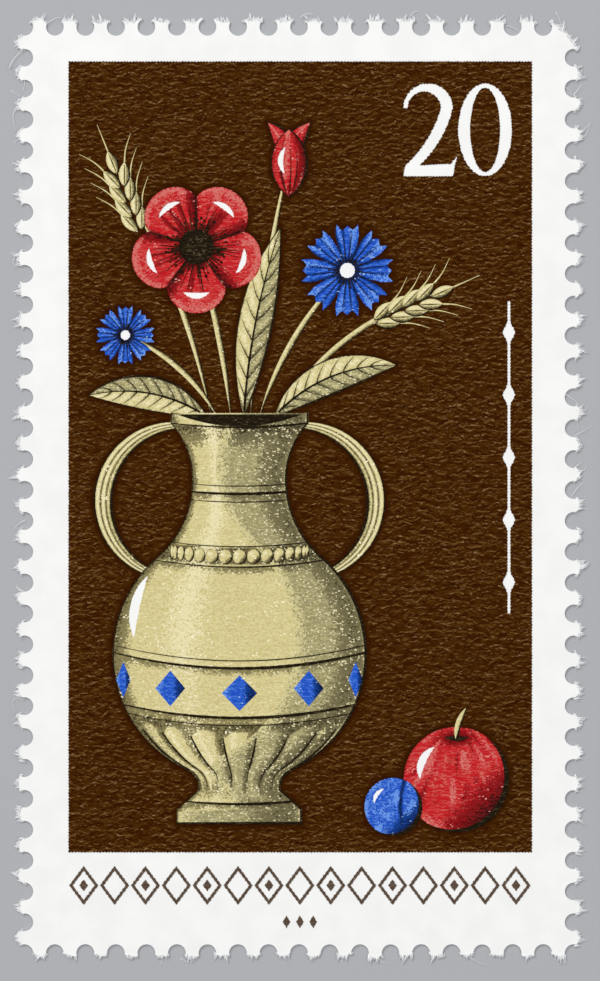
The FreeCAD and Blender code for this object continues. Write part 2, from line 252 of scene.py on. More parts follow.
# Forms that are drawn as place(s, t): the point a share s across and t along them

def blade(root, tip, left, right, steps=24):
    """A pointed form between two arcs."""
    sides = arc(root, tip, left, steps), arc(root, tip, right, steps)

    def place(s, t):
        i = min(int(t * steps), steps - 1)
        part = t * steps - i
        return sides[0][i].lerp(sides[0][i + 1], part).lerp(sides[1][i].lerp(sides[1][i + 1], part), s)

    return place


def round_form(x, y, reach):
    """A form round a middle: s turns once round it and t goes out. reach(s) is how far it goes."""
    def place(s, t):
        return at(x, y) + aim(tau * s) * reach(s) * t

    return place


def off_middle(s, t):
    """How far right of the middle and how far above it a place of a round form lies."""
    return t * cos(tau * s), t * sin(tau * s)


def ribbon(points, widths):
    """A form of changing width along a line."""
    sides = [], []
    last = len(points) - 1
    for i, point in enumerate(points):
        way = (points[min(i + 1, last)] - points[max(i - 1, 0)]).normalized()
        share = i / last * (len(widths) - 1)
        step = min(int(share), len(widths) - 2)
        width = widths[step] + (widths[step + 1] - widths[step]) * (share - step)
        aside = at(-way.y, way.x) * width * (0.5 + 0.12 * noise(point * 5))
        sides[0].append(point + aside)
        sides[1].append(point - aside)

    def place(s, t):
        i = round(t * last)
        return sides[0][i].lerp(sides[1][i], s)

    return place


def border(place, across=1, along=24):
    """The outline of a form."""
    points = [place(i / across, 0) for i in range(across)]
    points += [place(1, i / along) for i in range(along)]
    points += [place(1 - i / across, 1) for i in range(across)]
    points += [place(0, 1 - i / along) for i in range(along)]
    return [point for _, point, after in around(points) if (after - point).length > 2e-3]


# Solids

def prism(outline, low=cutter_low, high=cutter_high):
    """A closed block over an outline. Its usual levels reach through every ink."""
    bm = bmesh.new()
    tones = bm.loops.layers.float_color.new("tone")
    bm.faces.new([bm.verts.new(at(point.x, point.y, low)) for point in outline])
    raise_faces(bm, bm.faces[:], high - low)
    bmesh.ops.recalc_face_normals(bm, faces=bm.faces)
    for face in bm.faces:
        for loop in face.loops:
            loop[tones] = (0, 0, 0, 1)
    return bm


def raise_faces(bm, faces, thickness):
    made = bmesh.ops.extrude_face_region(bm, geom=faces)["geom"]
    raised = [part for part in made if isinstance(part, bmesh.types.BMVert)]
    bmesh.ops.translate(bm, vec=(0, 0, thickness), verts=raised)


def no_tone(s, t):
    return 0.0, 0.0


def lay(bm, place, across, along, low, high, tone=no_tone):
    """Adds a sheet of squares bent to a form. tone(s, t) is how dark and how light it is there. Each
    corner's tone is read a hair inside its square, so that a seam in the tone stays sharp."""
    tones = bm.loops.layers.float_color.get("tone") or bm.loops.layers.float_color.new("tone")
    made = bmesh.ops.create_grid(bm, x_segments=across, y_segments=along, size=0.5)["verts"]
    shares = {vert: (vert.co.x + 0.5, vert.co.y + 0.5) for vert in made}
    for face in dict.fromkeys(face for vert in made for face in vert.link_faces):
        corners = [shares[vert] for vert in face.verts]
        middle = [sum(corner[axis] for corner in corners) / len(corners) for axis in (0, 1)]
        for loop in face.loops:
            s, t = (share + (centre - share) * 0.02 for share, centre in zip(shares[loop.vert], middle))
            loop[tones] = (*tone(s, t), 0, 1)
    for vert, (s, t) in shares.items():
        vert.co = place(s, t)
        vert.co.z = low
    bmesh.ops.remove_doubles(bm, verts=made, dist=1e-3)
    flat = dict.fromkeys(face for vert in made if vert.is_valid for face in vert.link_faces)
    raise_faces(bm, list(flat), high - low)


def scratch_object(name, bm):
    mesh = bpy.data.meshes.new(name)
    bm.to_mesh(mesh)
    bm.free()
    made = bpy.data.objects.new(name, mesh)
    bpy.context.scene.collection.objects.link(made)
    return made


def cut(bm, blocks, operation="DIFFERENCE"):
    """The solid with the blocks' space taken out of it, or only what lies in a block."""
    if not blocks:
        return bm
    cutters = bpy.data.collections.new("cutters")
    for block in blocks:
        cutters.objects.link(scratch_object("cutter", block))
    bmesh.ops.recalc_face_normals(bm, faces=bm.faces)
    whole = scratch_object("whole", bm)
    taking = whole.modifiers.new("taking", "BOOLEAN")
    taking.operation = operation
    taking.solver = "MANIFOLD"
    taking.operand_type = "COLLECTION"
    taking.collection = cutters
    left = taken_mesh(whole)
    for done in [whole, *cutters.objects]:
        drop(done)
    bpy.data.collections.remove(cutters)
    return left


def taken_mesh(source):
    """A bmesh of an object with its modifiers applied."""
    whole = source.evaluated_get(bpy.context.evaluated_depsgraph_get())
    result = bpy.data.meshes.new_from_object(whole)
    bm = bmesh.new()
    bm.from_mesh(result)
    bpy.data.meshes.remove(result)
    return bm


def drop(done):
    mesh = done.data
    bpy.data.objects.remove(done)
    bpy.data.meshes.remove(mesh)


def join(bm, other):
    """Adds a closed block to a solid."""
    mesh = bpy.data.meshes.new("block")
    other.to_mesh(mesh)
    other.free()
    bm.from_mesh(mesh)
    bpy.data.meshes.remove(mesh)


def finished(name, bm, finishes, node):
    """Puts a piece drawn in millimetres into the frame, in place of the model's node."""
    bmesh.ops.recalc_face_normals(bm, faces=bm.faces)
    bmesh.ops.scale(bm, vec=(MM, MM, MM), verts=bm.verts)
    piece = scratch_object(name, bm)
    for finish in finishes:
        piece.data.materials.append(finish)
    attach(piece, "root")
    "paper" if node == "paper_sheet" else node
    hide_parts(node)


# Finishes

def shown(colour):
    """A colour as a screen shows it, from 0 to 255, in the way that a shader holds it."""
    return (*(((c / 255 + 0.055) / 1.055) ** 2.4 for c in colour), 1.0)


class Finish:
    """A material made of patterns that lie on the piece's own coordinates, in millimetres."""

    def __init__(self, name, roughness, gloss):
        self.material = bpy.data.materials.new(name)
        self.material.use_nodes = True
        self.tree = self.material.node_tree
        self.shader = self.tree.nodes["Principled BSDF"]
        self.shader.inputs["Roughness"].default_value = roughness
        self.shader.inputs["Specular IOR Level"].default_value = gloss
        own = self.node("ShaderNodeTexCoord").outputs["Object"]
        in_mm = self.node("ShaderNodeVectorMath", {0: own, "Scale": 1 / MM}, operation="SCALE")
        self.place = in_mm.outputs[0]

    def node(self, kind, inputs=None, **settings):
        made = self.tree.nodes.new(kind)
        for name, value in settings.items():
            setattr(made, name, value)
        for socket, value in (inputs or {}).items():
            if isinstance(value, bpy.types.NodeSocket):
                self.tree.links.new(value, made.inputs[socket])
            else:
                made.inputs[socket].default_value = value
        return made

    def spread(self, width, height, shift, lift=0.0):
        """The piece's coordinates, so many millimetres wide and high to one unit. With a lift, each
        place takes the pattern of a place so far above it, and a little to the left."""
        location = (shift - lift * slope_lean / width, shift + lift / height, 0)
        return self.node("ShaderNodeMapping", {"Vector": self.place, "Location": location,
                                               "Scale": (1 / width, 1 / height, 1)}).outputs[0]

    def spots(self, width, height, detail=3.0, warp=0.0, shift=0.0, lift=0.0):
        """Noise from 0 to 1 whose spots are about so many millimetres wide and high."""
        inputs = {"Vector": self.spread(width, height, shift, lift), "Scale": 1.0, "Detail": detail,
                  "Distortion": warp}
        return self.node("ShaderNodeTexNoise", inputs).outputs[0]

    def slope(self, width, height, warp, shift):
        """How steeply such noise rises up the sheet, which draws it out into level ridges."""
        above, below = (self.spots(width, height, 1.0, warp, shift, lift)
                        for lift in (slope_lift, -slope_lift))
        return self.work("SUBTRACT", above, below)

    def cells(self, width, height, shift=0.0):
        """A chance number from 0 to 1 for each small cell."""
        cells = self.node("ShaderNodeTexVoronoi", {"Vector": self.spread(width, height, shift), "Scale": 1.0})
        return self.node("ShaderNodeSeparateColor", {0: cells.outputs["Color"]}).outputs[0]

    def work(self, operation, first, second):
        return self.node("ShaderNodeMath", {0: first, 1: second}, operation=operation).outputs[0]

    def times(self, first, second):
        return self.work("MULTIPLY", first, second)

    def band(self, value, low, high):
        """0 where the value is below low, 1 where it is above high."""
        return self.node("ShaderNodeMapRange", {"Value": value, "From Min": low, "From Max": high},
                         interpolation_type="SMOOTHSTEP").outputs[0]

    def beyond(self, value, bar, low, high):
        """Such a band of how far the value is past a bar."""
        return self.band(self.work("SUBTRACT", value, bar), low, high)

    def blend(self, share, first, second):
        """The first look, with that share of the second. A look is a colour or another blend."""
        first, second = (shown(look) if isinstance(look, tuple) else look for look in (first, second))
        return self.node("ShaderNodeMix", {0: share, 6: first, 7: second}, data_type="RGBA").outputs[2]

    def tone(self):
        """How dark and how light the ink is, as each film carries it."""
        tone = self.node("ShaderNodeAttribute", attribute_name="tone").outputs["Color"]
        parts = self.node("ShaderNodeSeparateColor", {0: tone})
        return parts.outputs[0], parts.outputs[1]

    def colour(self, share, first, second):
        self.tree.links.new(self.blend(share, first, second), self.shader.inputs["Base Color"])

    def relief(self, height, depth_mm):
        bump = self.node("ShaderNodeBump", {"Height": height, "Distance": depth_mm * MM, "Strength": 0.5})
        self.tree.links.new(bump.outputs[0], self.shader.inputs["Normal"])


def clouded(name, roughness, gloss, size, darker, lighter):
    """A pale finish with faint clouds, which are about so many millimetres wide."""
    finish = Finish(name, roughness, gloss)
    finish.colour(finish.band(finish.spots(size, size), 0.3, 0.7), darker, lighter)
    return finish


def stamp_paper():
    finish = clouded("stamp_paper", 0.8, 0.2, 1.4, (246, 246, 245), (251, 251, 250))
    felt = finish.work("ADD", finish.spots(0.12, 0.05), finish.spots(0.05, 0.13, shift=7))
    finish.relief(felt, 0.003)
    return finish.material


def gummed_back():
    finish = clouded("gummed_back", 0.32, 0.5, 2.2, (236, 232, 216), (243, 240, 228))
    finish.relief(finish.spots(0.5, 0.5, warp=0.4), 0.006)
    return finish.material


def fibre_finish():
    finish = Finish("paper_fibre", 0.7, 0.2)
    finish.colour(finish.spots(0.3, 0.3, detail=2), (246, 247, 249), (254, 254, 254))
    return finish.material


def leathery_brown():
    """Brown ink that dried in small level wrinkles, like leather. Light and shade on the wrinkles are
    painted into its colour: painted light in a paler brown where the noise rises up the sheet, painted
    shade in a darker brown where it falls, and painted glints on a few of the lit places. Its dark
    tone is the smooth heavy edge round each painted form."""
    ink = Finish("leathery_brown_ink", 0.6, 0.0)
    heavy = ink.tone()[0]
    smooth = ink.work("SUBTRACT", 1.0, heavy)
    wrinkle = ink.times(ink.slope(0.36, 0.2, 0.6, 3), smooth)
    crease = ink.times(ink.slope(0.2, 0.14, 0.6, 19), smooth)
    here_and_there = ink.band(ink.spots(1.1, 0.7, detail=2, shift=5), 0.38, 0.56)
    # Painted light on the fine creases, here and there
    fine = ink.times(ink.band(crease, 0.07, 0.2), ink.times(here_and_there, 0.7))
    # Painted light on the wrinkles: where the noise rises up the sheet, the brown is painted paler
    painted_ridge_light = ink.work("MAXIMUM", ink.band(wrinkle, 0.05, 0.17), fine)
    cloud = ink.band(ink.spots(0.4, 0.22, shift=31), 0.35, 0.65)
    # Painted shade on the wrinkles: where the noise falls, the brown is painted darker
    painted_hollow_shade = ink.times(ink.band(wrinkle, -0.03, -0.17), 0.8)
    ground = ink.blend(painted_hollow_shade, ink.blend(cloud, (57, 25, 0), (72, 40, 7)), (45, 17, 0))
    # Painted glints: pale highlights on a few cells of the painted light
    glint = ink.times(painted_ridge_light, ink.band(ink.cells(0.1, 0.06), 0.78, 0.95))
    brown_with_painted_light = ink.blend(glint, ink.blend(painted_ridge_light, ground, (103, 71, 33)), (136, 108, 74))
    # The brown's colour carries this painted light and shade, and is dark where its ink is heavy
    ink.colour(heavy, brown_with_painted_light, (47, 18, 0))
    ink.relief(wrinkle, 0.02)
    return ink.material


def printed(name, ground, grain, middle, deep, light, speck, grained, specks, streak):
    """A fine-grained ink. Its tone brings in the middling and the deep ink and the light one, grain
    by grain. Its light colour is also painted along level ripples where the noise rises up the
    sheet, as painted light on the ink's fine relief. grained and specks are the shares of its area
    that its grain and its specks cover, and streak is a grain's width."""
    ink = Finish(name, 0.65, 0.03)
    darkness, lightness = ink.tone()
    sand = ink.cells(streak, 0.05)
    body = ink.blend(ink.band(sand, 0.88 - grained, 1.12 - grained), ground, grain)
    # Painted light along the ink's fine ripples, in its light colour
    painted_ripple_light = ink.band(ink.slope(0.34, 0.13, 0.5, 11), 0.04, 0.24)
    body = ink.blend(ink.times(painted_ripple_light, 0.55), body, light)
    fine, cloud = ink.cells(0.062, 0.055, 3), ink.spots(0.24, 0.17)
    dither = ink.work("ADD", ink.times(fine, 0.62), ink.times(cloud, 0.38))
    bar = ink.times(dither, 0.55)
    shaded = ink.blend(ink.beyond(darkness, bar, -0.08, 0.12), body, middle)
    deeper = ink.beyond(darkness, ink.work("ADD", bar, 0.4), -0.06, 0.1)
    shaded = ink.blend(deeper, shaded, deep)
    lit = ink.blend(ink.beyond(lightness, dither, -0.06, 0.14), shaded, light)
    lit = ink.blend(ink.times(sand, 0.2), lit, grain)
    cluster = ink.times(ink.band(ink.spots(0.8, 0.5, shift=5), 0.45, 0.7), 0.08)
    chance = ink.work("ADD", ink.cells(0.075, 0.055, 9), cluster)
    ink.colour(ink.band(chance, 1.02 - specks, 1.04 - specks), lit, speck)
    ink.relief(ink.spots(0.13, 0.1, detail=2), 0.004)
    return ink.material


# Each fine-grained ink: its ground, grain, middling, deep, light and speck colours, the shares of its
# area that the grain and the specks cover, and a grain's width. The light colour is also the painted
# light on the ink's fine ripples
ink_looks = {
    "ochre_ink": ((221, 209, 151), (204, 191, 131), (126, 116, 78), (34, 26, 12), (240, 230, 184),
                  (253, 245, 208), 0.4, 0.026, 0.07),
    "shade_ink": ((150, 142, 100), (178, 169, 124), (108, 101, 70), (36, 29, 15), (219, 208, 151),
                  (230, 220, 178), 0.45, 0.085, 0.07),
    "red_ink": ((194, 26, 34), (206, 62, 60), (128, 10, 16), (30, 6, 6), (214, 118, 110),
                (232, 156, 146), 0.3, 0.004, 0.24),
    "blue_ink": ((30, 80, 190), (56, 106, 214), (12, 52, 124), (6, 16, 46), (112, 158, 236),
                 (160, 192, 242), 0.3, 0.006, 0.12),
    "black_ink": ((26, 19, 9), (36, 28, 16), (16, 11, 5), (10, 7, 3), (84, 72, 48),
                  (92, 80, 56), 0.3, 0.004, 0.07),
    "caption_ink": ((84, 68, 54), (96, 80, 68), (62, 48, 34), (50, 36, 24), (122, 106, 92),
                    (140, 124, 108), 0.4, 0.01, 0.07),
}
paper, gum, fibre, brown = stamp_paper(), gummed_back(), fibre_finish(), leathery_brown()
inks = {name: printed(name, *look) for name, look in ink_looks.items()}


# The perforated sheet

def side_frame(side):
    """Where a side starts, the way it runs and the way out of the sheet there."""
    half_x, half_y = comb_width / 2, comb_height / 2
    corner = (at(-half_x, -half_y), at(half_x, -half_y), at(half_x, half_y), at(-half_x, half_y))[side]
    along = (at(1, 0), at(0, 1), at(-1, 0), at(0, -1))[side]
    return corner, along, at(along.y, -along.x)


def torn_edges():
    """Each hole's centre, and each tear round the sheet: its two ends, the way out there, and how far
    it bulges."""
    chance, shape = random.Random(tear_seed), random.Random(23)
    bulge = (0.1, 0.24, 0.02, 0.24)
    reach = (bottom_tear, side_tear, top_tear, side_tear)
    holes, tears = [], []
    for side in range(4):
        corner, along, out = side_frame(side)
        count = side_row_teeth if side % 2 else top_row_teeth
        pitch = (comb_height if side % 2 else comb_width) / count
        for i in range(count):
            ends = []
            for hole, way in ((i, 1), (i + 1, -1)):
                height = min(hole_radius, reach[side] + chance.uniform(-tear_roughness, tear_roughness))
                chord = sqrt(hole_radius ** 2 - height ** 2)
                ends.append(corner + along * (hole * pitch + way * chord) + out * height)
            holes.append(corner + along * (i * pitch))
            tears.append((*ends, out, bulge[side] + shape.gauss(0, 0.05)))
    torn = top_row_teeth + side_row_teeth
    unit = comb_height / side_row_teeth
    spots = [tears[torn - 1][0], *(holes[torn] + at(x, y) * unit for x, y in corner_tear), tears[torn][1]]
    slant = []
    for start, end in pairwise(spots):
        way = (end - start).normalized()
        slant.append((start, end, at(way.y, -way.x), 0.0))
    tears[torn - 1:torn + 1] = slant
    del holes[torn]
    return holes, tears


def torn_point(tear, share):
    """The point a share of the way along a tear."""
    start, end, out, bulge = tear
    return start.lerp(end, share) + out * bulge * ((4 * share * (1 - share)) ** 0.7 - 0.6)


def make_sheet(holes, tears):
    outline, ways = [], []
    for tear in tears:
        start, end, out, _ = tear
        steps = ceil((end - start).length / edge_step)
        for i in range(steps):
            point = torn_point(tear, (i + 0.01) / (steps - 0.98))
            ragged = (noise(point * 2.1) * 0.05 + noise(point * 8) * 0.05
                      + noise(point * 19) * 0.03)
            outline.append(point + out * ragged)
            ways.append(out)
    bm = bmesh.new()
    base = [bm.verts.new(point) for point in outline]
    bm.faces.new(base)
    raise_faces(bm, bm.faces[:], paper_thickness)
    for vert, out in zip(base, ways):
        above = next(edge.other_vert(vert) for edge in vert.link_edges if edge.other_vert(vert).co.z > 0)
        above.co -= out * (0.03 + noise(vert.co * 3.3 + at(9, 9)) * 0.05
                           + noise(vert.co * 14) * 0.025)
    punches = []
    wear = random.Random(11)
    for hole in holes:
        punch = bmesh.new()
        radius = hole_radius + wear.uniform(-0.006, 0.006)
        bmesh.ops.create_cone(punch, cap_ends=True, segments=48, radius1=radius, radius2=radius, depth=1)
        bmesh.ops.translate(punch, vec=hole, verts=punch.verts)
        punches.append(punch)
    bm = cut(bm, punches)
    for face in bm.faces:
        face.material_index = int(face.normal.z < -0.9)
    finished("perforated_paper", bm, [paper, gum], "paper_sheet")


def make_fibres(name, strands):
    """Thin tapered fibres, each along its own points, with its own radius."""
    line = bpy.data.curves.new(name, "CURVE")
    line.dimensions = "3D"
    line.bevel_depth = 1.0
    line.bevel_resolution = 0
    line.resolution_u = 3
    line.use_fill_caps = True
    for points, radius, smooth in strands:
        strand = line.splines.new("NURBS" if smooth else "POLY")
        strand.points.add(len(points) - 1)
        for i, (knot, point) in enumerate(zip(strand.points, points)):
            knot.co = (*point, 1)
            knot.radius = radius * (1 - 0.75 * i / (len(points) - 1))
        if smooth:
            strand.order_u = 3
            strand.use_endpoint_u = True
    source = bpy.data.objects.new(name, line)
    bpy.context.scene.collection.objects.link(source)
    bm = taken_mesh(source)
    bmesh.ops.remove_doubles(bm, verts=bm.verts, dist=1e-5)
    bpy.data.objects.remove(source)
    bpy.data.curves.remove(line)
    finished(name, bm, [fibre], "paper_sheet")


def make_fuzz(tears):
    """Pointed tufts of short fibres that the tearing pulled out of each tooth."""
    pull = random.Random(5)
    strands = []
    for tear in tears:
        start, end, out, _ = tear
        along = (end - start).normalized()
        tufts = max(2, round((end - start).length * 10))
        for tuft in range(tufts):
            share = (tuft + pull.uniform(0.1, 0.9)) / tufts
            foot = torn_point(tear, share) - out * 0.02
            bulge = 0.6 * share * (1 - share) * pull.uniform(0.6, 1.0)
            reach = 0.06 + bulge + pull.random() ** 4 * 0.3
            lean = along * pull.gauss(0, 0.35)
            tip_height = pull.uniform(0.03, 0.08)
            for _ in range(pull.randint(8, 14)):
                root = foot + along * pull.gauss(0, 0.06) - out * pull.uniform(0, 0.11)
                root.z = pull.uniform(0.04, 0.1)
                tip = foot + (out + lean) * reach * pull.uniform(0.5, 1.0) + along * pull.gauss(0, 0.03)
                tip.z = tip_height
                middle = root.lerp(tip, 0.5) + along * pull.gauss(0, 0.02)
                middle.z = min(0.115, middle.z + 0.02)
                strands.append(([root, middle, tip], pull.uniform(0.009, 0.016), False))
    make_fibres("torn_fuzz", strands)


# The long loose fibres, by their places in the photograph
photo_scale = 21.545
photo_width, photo_height = 600, 981
photo_middle = (299, 490)
long_fibres = (
    ((9, 68), (12, 61), (16, 56), (22, 50), (29, 48.5)),
    ((10.5, 90.5), (16, 94), (22.5, 98.5)),
    ((24, 78.5), (25.5, 84), (22, 93)),
    ((18.5, 81.5), (21, 79.5), (24.5, 77.5)),
    ((24, 105), (16, 108.5), (12.5, 114), (13.5, 122), (15, 130)),
    ((47, 23), (52, 19.5), (56, 17.5), (62, 17)),
    ((555.5, 11.5), (558, 16), (560, 20), (562, 26)),
    ((506, 25.5), (514, 27), (521, 32.5)),
    ((575, 126), (578, 133), (582, 138), (587, 134), (589, 124), (591.5, 121.5)),
    ((578, 136), (584, 129), (591, 122)),
    ((573, 95), (578, 90), (581.5, 84)),
    ((565.5, 87), (571, 90), (572.5, 96)),
    ((565, 394), (574, 400), (581, 407), (581, 415), (576, 422), (579, 431)),
    ((581, 414), (585, 411), (588, 407)),
    ((574, 436), (583, 431), (592.5, 425.5)),
    ((575.5, 467), (579, 464), (583, 461)),
    ((575.5, 470), (581, 471), (585.5, 470), (586.5, 465)),
    ((571, 497), (576, 489), (581, 484), (584.5, 482)),
    ((577, 502), (583, 503), (588.5, 502)),
    ((572, 655), (578, 660), (586, 655), (590, 662)),
    ((22, 250), (15, 255), (12, 262), (14, 270)),
    ((25, 520), (17, 523), (13, 530)),
    ((23, 700), (15, 696), (11, 704), (16, 712)),
    ((300, 17), (306, 12), (314, 14)),
    ((410, 16), (414, 10), (422, 12), (424, 20)),
    ((180, 958), (186, 964), (194, 962)),
    ((470, 957), (476, 963), (486, 965)),
)


def make_loose_fibres(tears):
    """Long curled fibres: those that the photograph shows, and stray ones at other teeth."""
    drift = random.Random(19)
    strands = []
    for spots in long_fibres:
        points = [at((x - photo_middle[0]) / photo_scale, (photo_middle[1] - y) / photo_scale,
                     drift.uniform(0.03, 0.11)) for x, y in spots]
        strands.append((points, drift.uniform(0.012, 0.018), True))
    for start, end, out, _ in drift.sample(tears, 50):
        point = start.lerp(end, drift.uniform(0.1, 0.9)) - out * 0.04
        heading = atan2(out.y, out.x) + drift.gauss(0, 0.6)
        turning = drift.gauss(0, 0.45)
        height = drift.uniform(0.03, 0.1)
        points = [at(point.x, point.y, height)]
        for _ in range(drift.randint(3, 6)):
            heading += turning + drift.gauss(0, 0.15)
            turning *= 1.15
            point = point + aim(heading) * 0.1
            height = min(0.125, max(0.015, height + drift.uniform(-0.02, 0.02)))
            points.append(at(point.x, point.y, height))
        strands.append((points, drift.uniform(0.008, 0.014), True))
    make_fibres("loose_fibres", strands)


# The print

# The pieces of the print by their ink, the forms in the order of painting, and what the brown alone
# leaves white
ink_pieces = {
    "ochre_ink": ("flower_stems", "wheat_ears", "leaves", "jug_handles", "jug_body", "jug_beads",
                  "apple_stalk"),
    "shade_ink": ("leaf_dark_halves", "jug_dark_side"),
    "red_ink": ("tulip_petals", "poppy_petals", "apple_skin"),
    "blue_ink": ("cornflower_florets", "jug_frieze", "plum_skin"),
    "black_ink": ("flower_lines", "leaf_lines", "jug_lines", "fruit_lines"),
}
piece_inks = {piece: ink for ink, pieces in ink_pieces.items() for piece in pieces}
forms = []
white_areas = []


class Form:
    """One painted form: its outline, and the films and drawn lines that fill it. Its plate is what
    it leaves open in the brown, and heavy is how far the brown beside it is thick and smooth."""

    def __init__(self, outline, white=(), heavy=heavy_width):
        self.heavy = heavy
        if sum(point.cross(after).z for _, point, after in around(outline)) < 0:
            outline = outline[::-1]
        self.outline = [point + register_slip for point in outline]
        self.plate = self.outline if heavy < heavy_width else screened(self.outline, sunk=1.0, calm=form_calm)
        self.low, self.high = (at(*(most(point[axis] for point in self.outline) for axis in (0, 1)))
                               for most in (min, max))
        self.films, self.lines = [], []
        self.white = [[point + register_slip for point in hole] for hole in white]
        forms.append(self)

    def film(self, piece, place, across, along, tone=no_tone):
        self.films.append((piece, place, across, along, tone))

    def line(self, points, widths, piece):
        self.lines.append(([point + register_slip for point in points], widths, piece))

    def meets(self, low, high):
        return low.x < self.high.x and low.y < self.high.y and self.low.x < high.x and self.low.y < high.y

    def hides(self, point):
        return self.meets(point, point) and encloses(self.outline, point)


def painted(piece, place, across, along, tone=no_tone, white=(), heavy=heavy_width):
    """A form that is one film, and goes by its place(s, t)."""
    form = Form(border(place, across, along), white, heavy)
    form.film(piece, place, across, along, tone)
    return form


def painted_round(piece, x, y, reach, across, along, tone, white=()):
    """A form round a middle. Its outline is a ring of as many points as its film has."""
    place = round_form(x, y, reach)
    form = Form([place(i / across, 1) for i in range(across)], white)
    form.film(piece, place, across, along, tone)
    return form


def heights(piece, number):
    """The lowest and the highest level of a film. Drawn lines differ by a hair where they cross."""
    ink = piece_inks[piece]
    if ink == "black_ink":
        return ink_top - 0.005, ink_top + 0.01 + 0.001 * (number % 8)
    if ink == "shade_ink":
        return ink_top - 0.005, ink_top - 0.002
    return paper_thickness, ink_top - 0.004


def uncovered(points, covers, white):
    """The runs of a line that nothing painted later hides, and that cross no white area."""
    if not covers and not white:
        return [points]
    runs, run = [], []
    for point in stepped(points, line_step):
        if any(cover.hides(point) for cover in covers) or any(encloses(hole, point) for hole in white):
            runs.append(run)
            run = []
        else:
            run.append(point)
    return [run for run in runs + [run] if len(run) > 1]


def print_forms():
    """Makes every film and line, less what is painted over it."""
    sheets = {piece: bmesh.new() for piece in piece_inks}
    for piece in sheets.values():
        piece.loops.layers.float_color.new("tone")
    for number, form in enumerate(forms):
        covers = [other for other in forms[number + 1:] if other.meets(form.low, form.high)]
        for piece, place, across, along, tone in form.films:
            whole = bmesh.new()
            lay(whole, lambda s, t: place(s, t) + register_slip, across, along, *heights(piece, number), tone)
            blocks = [prism(cover.outline) for cover in covers]
            blocks += [prism(screened(hole, glint_nick_depth, calm=white_calm)) for hole in form.white]
            join(sheets[piece], cut(whole, blocks))
        for count, (points, widths, piece) in enumerate(form.lines):
            for run in uncovered(points, covers, form.white):
                lay(sheets[piece], ribbon(run, widths), 1, len(run) - 1, *heights(piece, count))
    for piece, sheet in sheets.items():
        ink = piece_inks[piece]
        finished(piece, sheet, [inks[ink]], ink)


def make_ground():
    """The brown field, open where each form's plate is. Beside the forms its ink is heavy and smooth."""
    marks = [(point, form.heavy) for form in forms if form.heavy for point in form.plate[::2]]
    near = kdtree.KDTree(len(marks))
    for number, (point, _) in enumerate(marks):
        near.insert(point, number)
    near.balance()
    width, height = field_right - field_left, field_top - field_bottom

    def place(s, t):
        """A place on a sheet that reaches a little past the field, to be cut to its edge."""
        return at(field_left + width * (1.01 * s - 0.005), field_bottom + height * (1.01 * t - 0.005))

    def heaviness(s, t):
        beside = near.find_range(place(s, t), heavy_width)
        return max([0.0] + [1 - away / marks[number][1] for _, number, away in beside]) ** 1.3, 0.0

    ground = bmesh.new()
    across, along = round(width / ground_step), round(height / ground_step)
    lay(ground, place, across, along, paper_thickness, ink_top, heaviness)
    corners = rectangle(field_left, field_bottom, field_right, field_top)
    ground = cut(ground, [prism(screened(corners, field_nick_depth))], "INTERSECT")
    blocks = [prism(form.plate) for form in forms]
    blocks += [prism(screened(area, white_nick_depth, calm=white_calm)) for area in white_areas]
    bm = cut(ground, blocks)
    join(bm, prism(screened(zero_island()), paper_thickness, ink_top))
    finished("brown_ground", bm, [brown], "brown_ink")


# The jug

def arc_radius(inward, rise):
    """The radius of an arc that starts upright and comes so far inward over such a rise."""
    return (inward ** 2 + rise ** 2) / (2 * inward)


def waist_arc(inner, height):
    """An arc that runs from upright at a waist into the belly's arc: its radius, the distance of its
    middle from the jug's axis, and the height where the two arcs join."""
    apart = arc_radius(belly_radius - inner, height - belly_height)
    radius = apart - full_radius
    return radius, inner + radius, belly_height + (height - belly_height) * full_radius / apart


full_radius = belly_fullness * min(arc_radius(belly_radius - stem_radius, stem_height - belly_height),
                                   arc_radius(belly_radius - neck_radius, neck_height - belly_height))
low_waist, low_middle, low_join = waist_arc(stem_radius, stem_height)
high_waist, high_middle, high_join = waist_arc(neck_radius, neck_height)
flare = arc_radius(rim_radius - neck_radius, rim_height - neck_height)


def jug_radius(height):
    if height <= foot_height:
        return foot_radius
    if height <= stem_height:
        share = (height - foot_height) / (stem_height - foot_height)
        return foot_radius + (stem_radius - foot_radius) * share
    if height <= low_join:
        return low_middle - sqrt(max(0, low_waist ** 2 - (height - stem_height) ** 2))
    if height <= high_join:
        return belly_radius - full_radius + sqrt(full_radius ** 2 - (height - belly_height) ** 2)
    if height <= neck_height:
        return high_middle - sqrt(high_waist ** 2 - (neck_height - height) ** 2)
    if height <= rim_height:
        return neck_radius + flare - sqrt(flare ** 2 - (height - neck_height) ** 2)
    return rim_radius


def jug_levels():
    """Heights up the jug, with one at each corner of its side."""
    corners = [0, foot_height, stem_height, low_join, belly_height, high_join, neck_height, rim_height,
               rim_height + lip_height]
    levels = [0.0]
    for low, high in pairwise(corners):
        steps = max(1, ceil((high - low) / 0.13))
        levels += [low + (high - low) * (i + 1) / steps for i in range(steps)]
    return levels


# Each ring drawn round the jug: its height and its width
jug_rings = (
    (frieze_foot, 0.13), (belly_height, 0.13), (neck_height, 0.13), (stem_height, 0.12),
    (frieze_foot - 0.36, 0.045), (belly_height + 0.35, 0.045), (neck_height - 0.38, 0.045),
    (neck_height + 0.36, 0.045), (shoulder_ring, 0.07), (bead_ring, 0.05),
)


def ring_drop(x):
    """How far a ring lies lower here than at the jug's sides, as it is seen from above."""
    return ring_sag * (1 - (x / belly_radius) ** 2) - drawn_line / 2


def ring_points(level):
    """Points along the near half of a ring. Its reach is where it meets the jug's sides."""
    steps = 40
    reach = belly_radius
    for _ in range(30):
        reach = 0.5 * reach + 0.5 * jug_radius(level - ring_drop(reach))
    spots = [(reach - 0.03) * sin(pi * (i / steps - 0.5)) for i in range(steps + 1)]
    return [at(jug_x + x, jug_y + level - ring_drop(x)) for x in spots]


